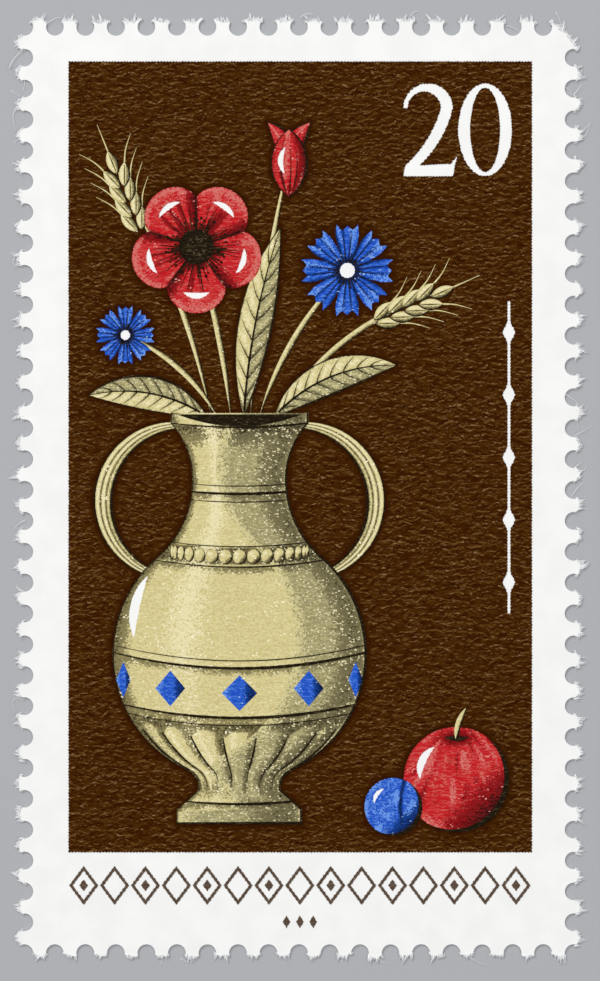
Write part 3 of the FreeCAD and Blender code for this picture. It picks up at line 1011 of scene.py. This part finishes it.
def relief_tone(x, height):
    """The soft dark and light that the rings and the lobes give the jug's side, and the dark round
    its beads."""
    level = height + ring_drop(x)
    turn = asin(max(-1, min(1, x / jug_radius(height)))) / pi + 0.5
    dark = light = 0.0
    for ring in (frieze_foot, belly_height, neck_height, stem_height, shoulder_ring):
        dark = max(dark, 0.62 * (1 - (ring - level) / 0.5)) if 0 < ring - level < 0.5 else dark
        light = max(light, 0.6 * (1 - (level - ring) / 0.4)) if 0.06 < level - ring < 0.4 else light
    if 1.8 < level < 5.3:
        lobe = turn * lobes % 1
        inside = eased(5.05 - 0.4 * (2 * lobe - 1) ** 2 - level, 0, 0.15) * eased(level, 1.8, 2.4)
        dark = max(dark, eased(lobe, 0.55, 0.97) * 0.8 * inside, (1 - inside) * 0.7 * eased(level, 4.2, 4.9))
        light = max(light, glow(lobe, 0.3, 0.13) * 0.8 * inside)
    if shoulder_ring + 0.06 < level < bead_ring - 0.05:
        dark = max(dark, 0.75)
    return dark, light


def make_jug():
    levels = jug_levels()
    rows = len(levels) - 1

    def up(t):
        return levels[round(t * rows)]

    def body(s, t):
        return at(jug_x + jug_radius(up(t)) * (2 * s - 1), jug_y + up(t))

    def body_tone(s, t):
        x, height = 2 * s - 1, up(t)
        dark, light = relief_tone(x * jug_radius(height), height)
        rim = eased(-x, 0.8, 1.0) * 0.7
        under_lip = eased(height, rim_height - 1.6, rim_height - 0.1) * (height < rim_height) * 0.75
        over_foot = eased(1.3 - height, 0, 0.9) * (height > foot_height) * 0.8
        waist = glow(height, stem_height, 0.5) * 0.4
        lit = (glow(x, -0.45, 0.16) * 0.55 + glow(x, -0.45, 0.5) * 0.2) * (0.6 + 0.4 * eased(height, 6, 9))
        lip = glow(height, rim_height + 0.3, 0.16) * 0.7
        return max(dark, rim, under_lip, over_foot, waist), max(light, lit, lip) * (1 - rim)

    def shaded_x(s, height):
        """How far from the jug's axis the dark side's place lies: its edge follows the jug's side."""
        radius = jug_radius(height)
        lower = height - shade_width / 5
        edge = -radius if lower < 0 else max(-radius, jug_radius(lower) - shade_width)
        return edge + (radius - edge) * s

    def dark_side(s, t):
        return at(jug_x + shaded_x(s, up(t)), jug_y + up(t))

    def dark_tone(s, t):
        height = up(t)
        dark, light = relief_tone(shaded_x(s, height), height)
        under_lip = eased(height, rim_height - 1.8, rim_height) * (height < rim_height) * 0.8
        over_foot = eased(1.5 - height, 0, 1.0) * (height > foot_height) * 0.8
        turned = eased(s, 0.35, 0.86) * 0.62 * (1 - 0.7 * eased(s, 0.9, 1.0))
        fading = nearly(s, 0.3) * 0.7
        return max(dark, under_lip, over_foot, turned), max(light * 0.7, fading) + 0.3 * eased(s, 0.92, 1.0)

    left, right = ([body(side, i / rows) for i in range(rows + 1)] for side in (0, 1))
    shine = blade(at(jug_x - 4.25, jug_y + 11.56), at(jug_x - 4.9, jug_y + 8.61), -0.5, -0.05)
    jug = Form(right + left[::-1], [border(shine)])
    jug.film("jug_body", body, 72, rows, body_tone)
    jug.film("jug_dark_side", dark_side, 36, rows, dark_tone)

    def draw(points, *widths):
        jug.line(points, widths, "jug_lines")

    for level, width in jug_rings:
        draw(ring_points(level), width * 0.4, width * 0.8, width, width * 1.1, width * 0.7)
    for lobe in range(1, lobes):
        way = sin(pi * (lobe / lobes - 0.5))
        top = lobe_top - ring_sag * (1 - (way * 0.8) ** 2)
        climb = [lobe_foot + (top - lobe_foot) * i / 16 for i in range(17)]
        seam = [at(jug_x + jug_radius(height) * way, jug_y + height) for height in climb]
        draw(seam, 0.02, 0.06, 0.09, 0.05)
    half_mouth = rim_radius - drawn_line * 2
    mouth = blade(at(jug_x - half_mouth, mouth_y - 0.08), at(jug_x + half_mouth, mouth_y - 0.08), 0, -0.55)
    jug.film("jug_lines", mouth, 4, 24)
    lip = jug_y + rim_height + 0.02
    draw(arc(at(jug_x - rim_radius, lip), at(jug_x + rim_radius, lip), -0.2), 0.04, 0.07, 0.12, 0.08)
    draw([point + at(0.04, 0) for point in left], 0.02, 0.05, 0.02)
    draw([point - at(0.05, 0) for point in right], 0.07, 0.13, 0.07)
    draw(stepped([left[0] + at(0, 0.05), right[0] + at(0, 0.05)], 0.3), 0.08, 0.13)

    make_beads()
    make_frieze()


def make_beads():
    """The row of beads between two rings on the jug's shoulder."""
    for i in range(beads):
        turn = pi * ((i + 0.5) / beads - 0.5)
        x = (jug_radius(bead_level) - 0.04) * sin(turn)
        half_width = max(0.07, 0.32 * cos(turn))

        def reach(s, half_width=half_width):
            a, b = off_middle(s, 1)
            return half_width * bead_height / hypot(bead_height * a, half_width * b)

        def tone(s, t, side=x / jug_radius(bead_level)):
            a, b = off_middle(s, t)
            dark = max(eased((a - b) * 0.7 + side * 0.25, 0.1, 0.9), eased(t, 0.8, 1.0) * 0.5)
            return dark, glow(hypot(a + 0.35, b - 0.38), 0, 0.4) * 0.95

        spot = at(jug_x + x, jug_y + bead_level - ring_drop(x))
        bead = painted_round("jug_beads", spot.x, spot.y, reach, 24, 6, tone)
        rim = round_form(spot.x, spot.y, reach)
        bead.line([rim(-0.35 + 0.5 * step / 10, 0.96) for step in range(11)], (0.01, 0.06, 0.01), "jug_lines")


def make_frieze():
    """Blue diamonds round the belly, which look slimmer towards its sides."""
    diamonds, degrees_apart, reach = 5, 33, 0.828
    for i in range(diamonds):
        turn = radians((i - diamonds // 2) * degrees_apart)
        x = jug_x + belly_radius * sin(turn)
        y = jug_y + belly_height - frieze_height / 2 - (ring_sag * cos(turn) ** 2 - drawn_line / 2)
        slim = reach * cos(turn)

        def place(s, t, x=x, y=y, slim=slim):
            return at(x + (s - t) * slim, y + (s + t - 1) * reach)

        Form(lozenge(x, y, slim, reach)).film("jug_frieze", place, 8, 8, lambda s, t: (
            eased(s - t, 0.05, 0.7) * 0.8, eased(t - s, 0.2, 0.8) * 0.6))


def make_handles():
    for side in (-1, 1):
        top = at(jug_x + side * neck_radius / 2, jug_y + rim_height - lip_height)
        foot = at(jug_x + side * neck_radius, jug_y + (belly_height + neck_height) / 2 - lip_height)
        bow = side * (handle_bow + neck_radius)
        grip = blade(top, foot, bow + side * handle_width / 2, bow - side * handle_width / 2, 64)

        def tone(s, t):
            groove = max(glow(s, 0.36, 0.06), glow(s, 0.66, 0.06)) * 0.75
            inside = eased(s, 0.72, 1.0) * 0.9
            edge = nearly(s, 0.14) * 0.5
            ends = max(eased(t, 0.8, 0.93), eased(0.16 - t, 0, 0.1)) * 0.6
            lower = eased(t, 0.45, 0.8) * 0.3
            return max(groove, inside, edge, ends, lower), max(glow(s, 0.2, 0.07), glow(s, 0.5, 0.08)) * 0.85

        form = painted("jug_handles", grip, 20, 64, tone)
        for rise, widths in ((0.4, (0.02, 0.05, 0.07, 0.05)), (-0.38, (0.05, 0.1, 0.12, 0.07))):
            form.line(arc(top, foot, bow + side * rise, 48), widths, "jug_lines")


# The bouquet

def over_mouth(place):
    return at(jug_x + place[0], mouth_y + place[1])


poppy, tulip = over_mouth((-2.0, 7.7)), over_mouth((2.3, 10.0))
cornflower, bud = over_mouth((5.0, 6.6)), over_mouth((-5.3, 3.6))


def make_stem(head, root_x):
    root = at(jug_x + root_x, mouth_y - lip_height / 2)
    bow = (head.x - root.x) * 0.12

    def tone(s, t):
        return eased(s, 0.45, 0.9) * 0.8 + eased(0.25 - t, 0, 0.2) * 0.5, 0.7 * glow(s, 0.25, 0.15)

    stem = painted("flower_stems", blade(root, head, bow + 0.14, bow - 0.14, 40), 6, 40, tone, heavy=0.1)
    stem.line(arc(root, head, bow - 0.13, 40), (0.03, 0.05, 0.04, 0.01), "leaf_lines")


def make_ear(tip, root_x, degrees):
    """An ear of wheat: grains in pairs up a stalk, each with its crease and its bristle."""
    make_stem(tip, root_x)
    grains = [(-pair * 0.72, side * 0.312, side * 22) for pair in (4, 3, 2, 1) for side in (-1, 1)]

    def tone(s, t):
        return (max(eased(s, 0.5, 0.95), nearly(t, 0.2)) * 0.85,
                0.9 * glow(s, 0.25, 0.14) * eased(t, 0.1, 0.3))

    for x, y, tilt in [*grains, (0, 0, 0)]:
        root, point = [end + at(x, y) for end in placed([at(-0.575, 0), at(0.575, 0)], 0, 0, tilt)]
        root, point = placed([root, point], tip.x, tip.y, degrees)
        way = (point - root).normalized()
        aside = at(-way.y, way.x)
        bristle = bend(point - way * 0.1, point + way * 0.6, point + way * 0.7 + aside * tilt * 0.003,
                       point + way * 1.35 + aside * tilt * 0.013, 8)
        painted("wheat_ears", ribbon(bristle, (0.075, 0.05, 0.02)), 1, 8, heavy=0)
        form = painted("wheat_ears", blade(root, point, 0.26, -0.26, 16), 10, 16, tone, heavy=0.12)
        form.line(arc(root, point, 0.0, 10)[1:-1], (0.02, 0.045, 0.01), "leaf_lines")
        form.line(arc(root, point, -0.24, 10), (0.03, 0.07, 0.02), "leaf_lines")


def make_leaf(root, tip, bow):
    root, tip = over_mouth(root), over_mouth(tip)
    whole = blade(root, tip, bow + 0.8, bow - 0.8, 64)

    def veins(s, t):
        """Dark at the veins and light between them."""
        vein = (t * 10 - abs(s - 0.5) * 2.4) % 1
        return max(glow(vein, 0, 0.12), glow(vein, 1, 0.12)), glow(vein, 0.4, 0.2)

    def tone(s, t):
        dark, light = veins(s, t)
        dark *= eased(abs(s - 0.5), 0.5, 0.1) if abs(s - 0.5) > 0.1 else 1
        dark = max(dark * 0.5, nearly(s, 0.1) * 0.5, nearly(t, 0.16) * 0.8)
        return dark, light * 0.55 + 0.3 * glow(s, 0.25, 0.1)

    def dark_tone(s, t):
        dark, light = veins(0.5 + s / 2, t)
        dark = max(dark * 0.6, eased(s, 0.55, 1) * 0.6, nearly(s, 0.12) * 0.8, nearly(t, 0.2) * 0.8)
        return dark, light * 0.5

    form = painted("leaves", whole, 24, 64, tone)
    form.film("leaf_dark_halves", blade(root, tip, bow, bow - 0.8, 64), 14, 64, dark_tone)
    for rise, widths in ((0, (0.1, 0.09, 0.06, 0.02)), (-0.77, (0.05, 0.1, 0.09, 0.03)),
                         (0.78, (0.02, 0.04, 0.04, 0.02))):
        form.line(arc(root, tip, bow + rise, 32), widths, "leaf_lines")
    for vein in range(1, 9):
        start = vein / 10
        for side in (0.08, 0.92):
            first, last = whole(0.5, start), whole(side, min(0.97, start + 0.1))
            middle = whole(0.5 + (side - 0.5) * 0.45, start + 0.035)
            form.line(bend(first, middle, middle, last, 6), (0.045, 0.03, 0.01), "leaf_lines")


def make_poppy():
    """Five petals round a dark heart with stamens."""
    middle = poppy.x, poppy.y

    def reach(s):
        return poppy_radius * (0.74 + 0.26 * abs(sin(2.5 * (pi / 2 - tau * s))) ** 0.7)

    def tone(s, t):
        petal = ((0.25 - s) * poppy_petals) % poppy_petals
        number, across = int(petal), petal % 1
        heart = eased(0.5 - t, 0, 0.34)
        flank = max(nearly(across, 0.1) * 0.5, eased(across, 0.72, 1.0) * 0.85 * eased(t, 0.2, 0.5))
        fold = rough(across * 11, t * 1.2, number * 7) * 1.6 * eased(1.0 - t, 0.02, 0.4)
        rim = glow(t, 0.95, 0.06) * 0.75 + glow(t, 0.78, 0.1) * glow(across, 0.5, 0.26) * 0.5
        fan = rough(across * 8 + 40, t * 1.6, number * 7) * 1.5 * eased(t, 0.35, 0.7)
        dark = min(1.0, max(heart * 1.05, flank, fold * 0.7, eased(t, 0.97, 1.0) * 0.5))
        return dark, max(rim, fan * 0.7) * (1 - heart) * (1 - flank)

    left, right = (at(poppy_radius * share, poppy_radius * 0.68) for share in (0.2, -0.2))
    glint = border(blade(left, right, -0.3, -0.03))
    glints = [placed(glint, *middle, (petal + 0.5) * 360 / poppy_petals) for petal in range(poppy_petals)]
    form = painted_round("poppy_petals", *middle, reach, 180, 26, tone, glints)
    place = round_form(*middle, reach)
    folds = random.Random(7)

    def draw(points, *widths):
        form.line(points, widths, "flower_lines")

    for petal in range(poppy_petals):
        seam = 0.25 - petal / poppy_petals
        draw([place(seam, 0.2 + 0.8 * i / 12) for i in range(13)], 0.09, 0.07, 0.03)
        for _ in range(7):
            s = seam + folds.uniform(0.03, 0.17)
            low, high = folds.uniform(0.22, 0.34), folds.uniform(0.5, 0.8)
            lean = (s - seam - 0.1) * 0.12
            draw([place(s + lean * i / 8, low + (high - low) * i / 8) for i in range(9)], 0.045, 0.03, 0.01)
    form.film("flower_lines", round_form(*middle, lambda s: poppy_heart), 48, 8,
              lambda s, t: (0.0, 0.8 * glow(t, 0.45, 0.16) * (0.5 + 0.5 * sin(s * tau * 9))))
    for _ in range(60):
        way = aim(folds.uniform(0, tau))
        start, end = poppy + way * 0.7, poppy + way * folds.uniform(0.95, 1.45)
        draw([start, start.lerp(end, 0.5) + at(-way.y, way.x) * folds.gauss(0, 0.03), end], 0.02, 0.03)
        make_speck(form, end, folds.uniform(0.04, 0.07))


def make_speck(form, spot, size):
    form.film("flower_lines", round_form(spot.x, spot.y, lambda s: size), 8, 1)


def make_tulip():
    """Two petals behind and one in front."""
    petals = [(tulip + at(side * tulip_length * 0.28, tulip_length * 0.97), side * 0.55 + 0.55,
               side * 0.55 - 0.55) for side in (-1, 1)]
    petals.append((tulip + at(0, tulip_length * 0.88), 0.85, -0.85))
    low, high = (tulip + at(x, tulip_length * share) for x, share in ((-0.2, 0.3), (-0.15, 0.65)))
    glint = border(blade(low, high, 0.35, 0.1))
    for number, (tip, left, right) in enumerate(petals):
        front = number == 2

        def tone(s, t, number=number, front=front):
            flank = max(nearly(s, 0.2) * 0.4, eased(s, 0.6, 0.98) * 0.85)
            behind = 0.0 if front else eased(0.75 - t, 0, 0.3) * 0.7
            base = nearly(t, 0.26) * 0.8
            streak = rough(s * 9, t * 1.6, number * 3) * 1.1
            lit = glow(s, 0.4, 0.13) * eased(t, 0.12, 0.4) * 0.65 + eased(t, 0.82, 1.0) * 0.4
            fan = rough(s * 7 + 9, t * 1.4, number) * 1.2
            return max(flank, behind, base, streak), max(lit, fan) * (1 - behind)

        petal = blade(tulip, tip, left, right, 32)
        form = painted("tulip_petals", petal, 22, 32, tone, [glint] if front else [])
        for rise, widths in ((left, (0.03, 0.05, 0.03)), (right, (0.06, 0.1, 0.04))):
            form.line(arc(tulip, tip, rise * 0.97, 24), widths, "flower_lines")
        for s in (0.28, 0.55, 0.72):
            form.line([petal(s, t / 16) for t in range(2, 12)], (0.04, 0.035, 0.01), "flower_lines")


def make_cornflower(centre, radius):
    """A flower of eight florets, each with three teeth."""
    spots = ((-0.5, 0.5), (-0.42, 0.78), (-0.3, 1.0), (-0.18, 0.86), (0.0, 0.94), (0.16, 0.84),
             (0.3, 1.0), (0.42, 0.78), (0.5, 0.5))

    def reach(s):
        share = (s * florets + 0.5) % 1 - 0.5
        for (low, first), (high, last) in pairwise(spots):
            if share <= high:
                return radius * (first + (last - first) * (share - low) / (high - low))

    def tone(s, t):
        floret = s * florets + 0.5
        number, across = int(floret), floret % 1
        heart = eased(0.42 - t, 0, 0.24)
        flank = max(nearly(across, 0.14) * 0.6, eased(across, 0.74, 1.0) * 0.95)
        fold = max(glow(across, 0.38, 0.05), glow(across, 0.64, 0.05)) * 0.6
        sheen = 0.2 + 1.2 * rough(across * 6, t * 2, number * 5)
        lit = eased(t, 0.4, 1.0) * sheen + glow(across, 0.26, 0.1) * 0.5
        return max(heart * 1.05, flank, fold), lit * (1 - flank) * (1 - heart)

    eye = oval(centre.x, centre.y, radius * 0.16, radius * 0.16, 40)
    form = painted_round("cornflower_florets", centre.x, centre.y, reach, 192, 12, tone, [eye])
    place = round_form(centre.x, centre.y, reach)
    pull = random.Random(31)
    for floret in range(florets):
        for share, width in ((-0.5, 0.06), (-0.16, 0.04), (0.16, 0.04)):
            seam = [place((floret + share) / florets, 0.2 + 0.7 * i / 6) for i in range(7)]
            form.line(seam, (width, width * 0.75, width / 4), "flower_lines")
    for i in range(14):
        turn = tau * i / 14 + pull.uniform(-0.1, 0.1)
        way = aim(turn) * radius
        end = centre + way * pull.uniform(0.26, 0.38)
        form.line([centre + way * 0.15, end], (0.03, 0.04), "flower_lines")
        make_speck(form, end, 0.045)


def make_bouquet():
    make_ear(over_mouth((-5.9, 11.6)), -1.3, 112)
    make_ear(over_mouth((9.4, 5.6)), 1.7, 24)
    for head, root_x in ((tulip + at(0, 1.8), 0.5), (poppy, -0.4), (cornflower, 0.9), (bud, -1.0)):
        make_stem(head, root_x)
    make_leaf((1.6, -0.2), (7.3, 2.2), 0.7)
    make_leaf((-1.5, -0.2), (-7.0, 0.8), -0.6)
    make_leaf((0.2, -0.2), (1.9, 8.6), 0.3)
    make_tulip()
    make_cornflower(bud, 1.4)
    make_cornflower(cornflower, 2.2)
    make_poppy()


# Fruit beside the jug

def sphere_tone(x, y):
    """How far a place on a ball turns away from the light: 0 to 1."""
    return eased((x - y) * 0.62, 0.05, 0.95)


def make_fruit():
    radius = apple_radius
    x, y = field_right - 1.0 - radius, jug_y + radius * 0.85

    def apple_tone(s, t):
        a, b = off_middle(s, t)
        away = sphere_tone(a, b)
        edge_light = eased(t, 0.9, 1.0) * away * 0.7
        dimple = exp(-(a / 0.3) ** 2 - ((b - 0.78) / 0.13) ** 2)
        streak = noise(at(atan2(a, 1.3 - b) * 9, b * 1.6, 2))
        blush = exp(-((a + 0.42) / 0.34) ** 2 - ((b - 0.1) / 0.55) ** 2)
        light = max(0.0, streak) * 1.3 * (1 - away) + blush * 0.3 + edge_light
        dark = max(away * 0.98 - edge_light, dimple, max(0.0, -streak) * 0.7, eased(t, 0.95, 1.0) * 0.4)
        return dark, min(0.66, light) * (1 - dimple)

    glint = blade(at(x - radius * 0.4, y + radius * 0.62), at(x - radius * 0.68, y), -0.45, -0.08)
    apple = painted_round("apple_skin", x, y, lambda s: radius, 120, 30, apple_tone, [border(glint)])
    apple.film("fruit_lines", blade(at(x - 1.3, y - 2.07), at(x + 1.3, y + 2.07), -2.46, -2.2, 40), 3, 40)
    top = y + radius
    apple.film("fruit_lines", blade(at(x - 0.55, top - 0.5), at(x + 0.6, top - 0.5), 0.05, -0.16, 20), 4, 20)
    root, tip = at(x, top - radius * 0.28), at(x + 0.5, top + 0.9)
    stalk = painted("apple_stalk", blade(root, tip, 0.28, 0.0, 20), 6, 20,
                    lambda s, t: (eased(s, 0.5, 1) * 0.8, 0.6 * glow(s, 0.25, 0.15)), heavy=0.1)
    stalk.line(arc(root, tip, 0.02), (0.1, 0.07, 0.04), "fruit_lines")

    u, v = x - radius - plum_radius * 0.35, jug_y + plum_radius * 0.6

    def plum_tone(s, t):
        a, b = off_middle(s, t)
        away = sphere_tone(a, b)
        crease = glow(a, 0.25 + 0.18 * b * b, 0.07) * 0.9
        edge_light = eased(t, 0.88, 1.0) * away * 0.6
        bloom = (rough(a * 2.5, b * 2.5, 4) + 0.3) * (1 - away)
        return max(away - edge_light, crease), min(0.85, bloom * 1.1 + edge_light) * (1 - crease)

    low, high = (at(u - plum_radius * a, v + plum_radius * b) for a, b in ((0.3, 0.62), (0.65, 0.1)))
    glint = border(blade(low, high, -0.25, -0.05))
    plum = painted_round("plum_skin", u, v, lambda s: plum_radius, 96, 18, plum_tone, [glint])
    plum.film("fruit_lines", blade(at(u - 0.7, v - 1.15), at(u + 0.7, v + 1.15), -1.36, -1.16, 32), 3, 32)


# White numerals and ornament, which are bare paper

def digit_two(x, y):
    high, low = 3.15, 0.504
    outline = arc(at(0, high), at(2.3, high), 1.15, 40)
    outline += arc(at(2.3, high), at(0.76, low), 0.22, 24)[1:]
    outline += [at(2.2, 0.56), at(2.5, 0.946), at(2.3, 0), at(0, 0), at(0.1, low)]
    outline += arc(at(0.1, low), at(1.74, high), -0.22, 24)[1:]
    outline += arc(at(1.74, high), at(0.2, high), -0.77, 32)[1:]
    return [point + at(x, y) for point in outline]


numeral_y = field_top - numeral_inset - numeral_height
zero_x = field_right - numeral_inset - numeral_width
zero_middle = zero_x + numeral_width / 2, numeral_y + numeral_height / 2


def zero_island():
    return oval(*zero_middle, 0.69, 1.95, 180)


def leave_white():
    """Leaves the numerals and the side rule open in the brown."""
    rule_x, rule_length = field_right - 1.05, 14.5
    low = (field_bottom + field_top - rule_length) / 2
    white_areas.append(digit_two(zero_x - 0.35 - numeral_width, numeral_y))
    white_areas.append(oval(*zero_middle, 1.25, numeral_height / 2, 200))
    white_areas.append(rectangle(rule_x - 0.06, low, rule_x + 0.06, low + rule_length))
    for i in range(5):
        white_areas.append(lozenge(rule_x, low + rule_length * (i + 0.5) / 5, 0.3, 0.62))


def make_caption():
    """The chain of open lozenges under the field and the three small ones under it."""
    pitch = (field_right - field_left) / caption_lozenges
    half_width, half_height = pitch * 0.47, 0.9
    y = field_bottom - 0.62 - half_height
    line = 0.13 * hypot(half_width, half_height) / half_height
    bm = bmesh.new()

    def spot(*form):
        return prism(screened(lozenge(*form), calm=caption_calm), paper_thickness, ink_top)

    for i in range(caption_lozenges):
        x = field_left + pitch * (i + 0.5)
        inner = lozenge(x, y, half_width - line, half_height - line * half_height / half_width)
        inner = prism(screened(inner, calm=caption_calm))
        join(bm, cut(spot(x, y, half_width, half_height), [inner]))
        if i % 2 == 0:
            join(bm, spot(x, y, half_width * 0.3, half_height * 0.3))
    for i in (-1, 0, 1):
        join(bm, spot((field_left + field_right) / 2 + i * 0.62, y - half_height - 0.79, 0.174, 0.29))
    finished("caption_ornament", bm, [inks["caption_ink"]], "brown_ink")


holes, tears = torn_edges()
make_sheet(holes, tears)
make_fuzz(tears)
make_loose_fibres(tears)
make_bouquet()
make_handles()
make_jug()
make_fruit()
leave_white()
print_forms()
make_ground()
make_caption()


# The stage

def make_floor():
    half_width, clearance = 0.75, 0.000004
    bm = bmesh.new()
    bmesh.ops.create_grid(bm, x_segments=1, y_segments=1, size=half_width)
    bmesh.ops.translate(bm, vec=(0, 0, -clearance), verts=bm.verts)
    floor = scratch_object("floor", bm)
    finish = Finish("pale_floor", 0.9, 0.1)
    finish.shader.inputs["Base Color"].default_value = shown((177, 179, 183))
    floor.data.materials.append(finish.material)


def make_lamp(name, place, size, watts):
    light = bpy.data.lights.new(name, "AREA")
    light.size = size
    light.energy = watts
    lamp = bpy.data.objects.new(name, light)
    lamp.location = place
    lamp.rotation_mode = "QUATERNION"
    lamp.rotation_quaternion = (-Vector(place)).to_track_quat("-Z", "Y")
    bpy.context.scene.collection.objects.link(lamp)


def make_world(strength):
    world = bpy.data.worlds.new("studio")
    world.use_nodes = True
    sky = world.node_tree.nodes["Background"]
    sky.inputs["Color"].default_value = (1, 1, 1, 1)
    sky.inputs["Strength"].default_value = strength
    bpy.context.scene.world = world


def make_camera():
    """Looks straight down, as the flat scan does, and its picture is as high as the photograph."""
    camera = bpy.data.cameras.new("camera")
    camera.lens = 110
    camera.clip_start, camera.clip_end = 0.005, 20
    eye = bpy.data.objects.new("camera", camera)
    distance = photo_height / photo_scale * MM * camera.lens / camera.sensor_width
    eye.location = ((photo_width / 2 - photo_middle[0]) / photo_scale * MM,
                    (photo_middle[1] - photo_height / 2) / photo_scale * MM, paper_thickness * MM + distance)
    bpy.context.scene.collection.objects.link(eye)
    bpy.context.scene.camera = eye


make_floor()
make_lamp("key_softbox", (-0.32, 0.38, 0.42), 0.3, 2.6)
make_lamp("fill_softbox", (0.4, -0.1, 0.5), 0.4, 1.04)
make_world(0.43)
make_camera()
bpy.context.scene.view_settings.view_transform = "Standard"
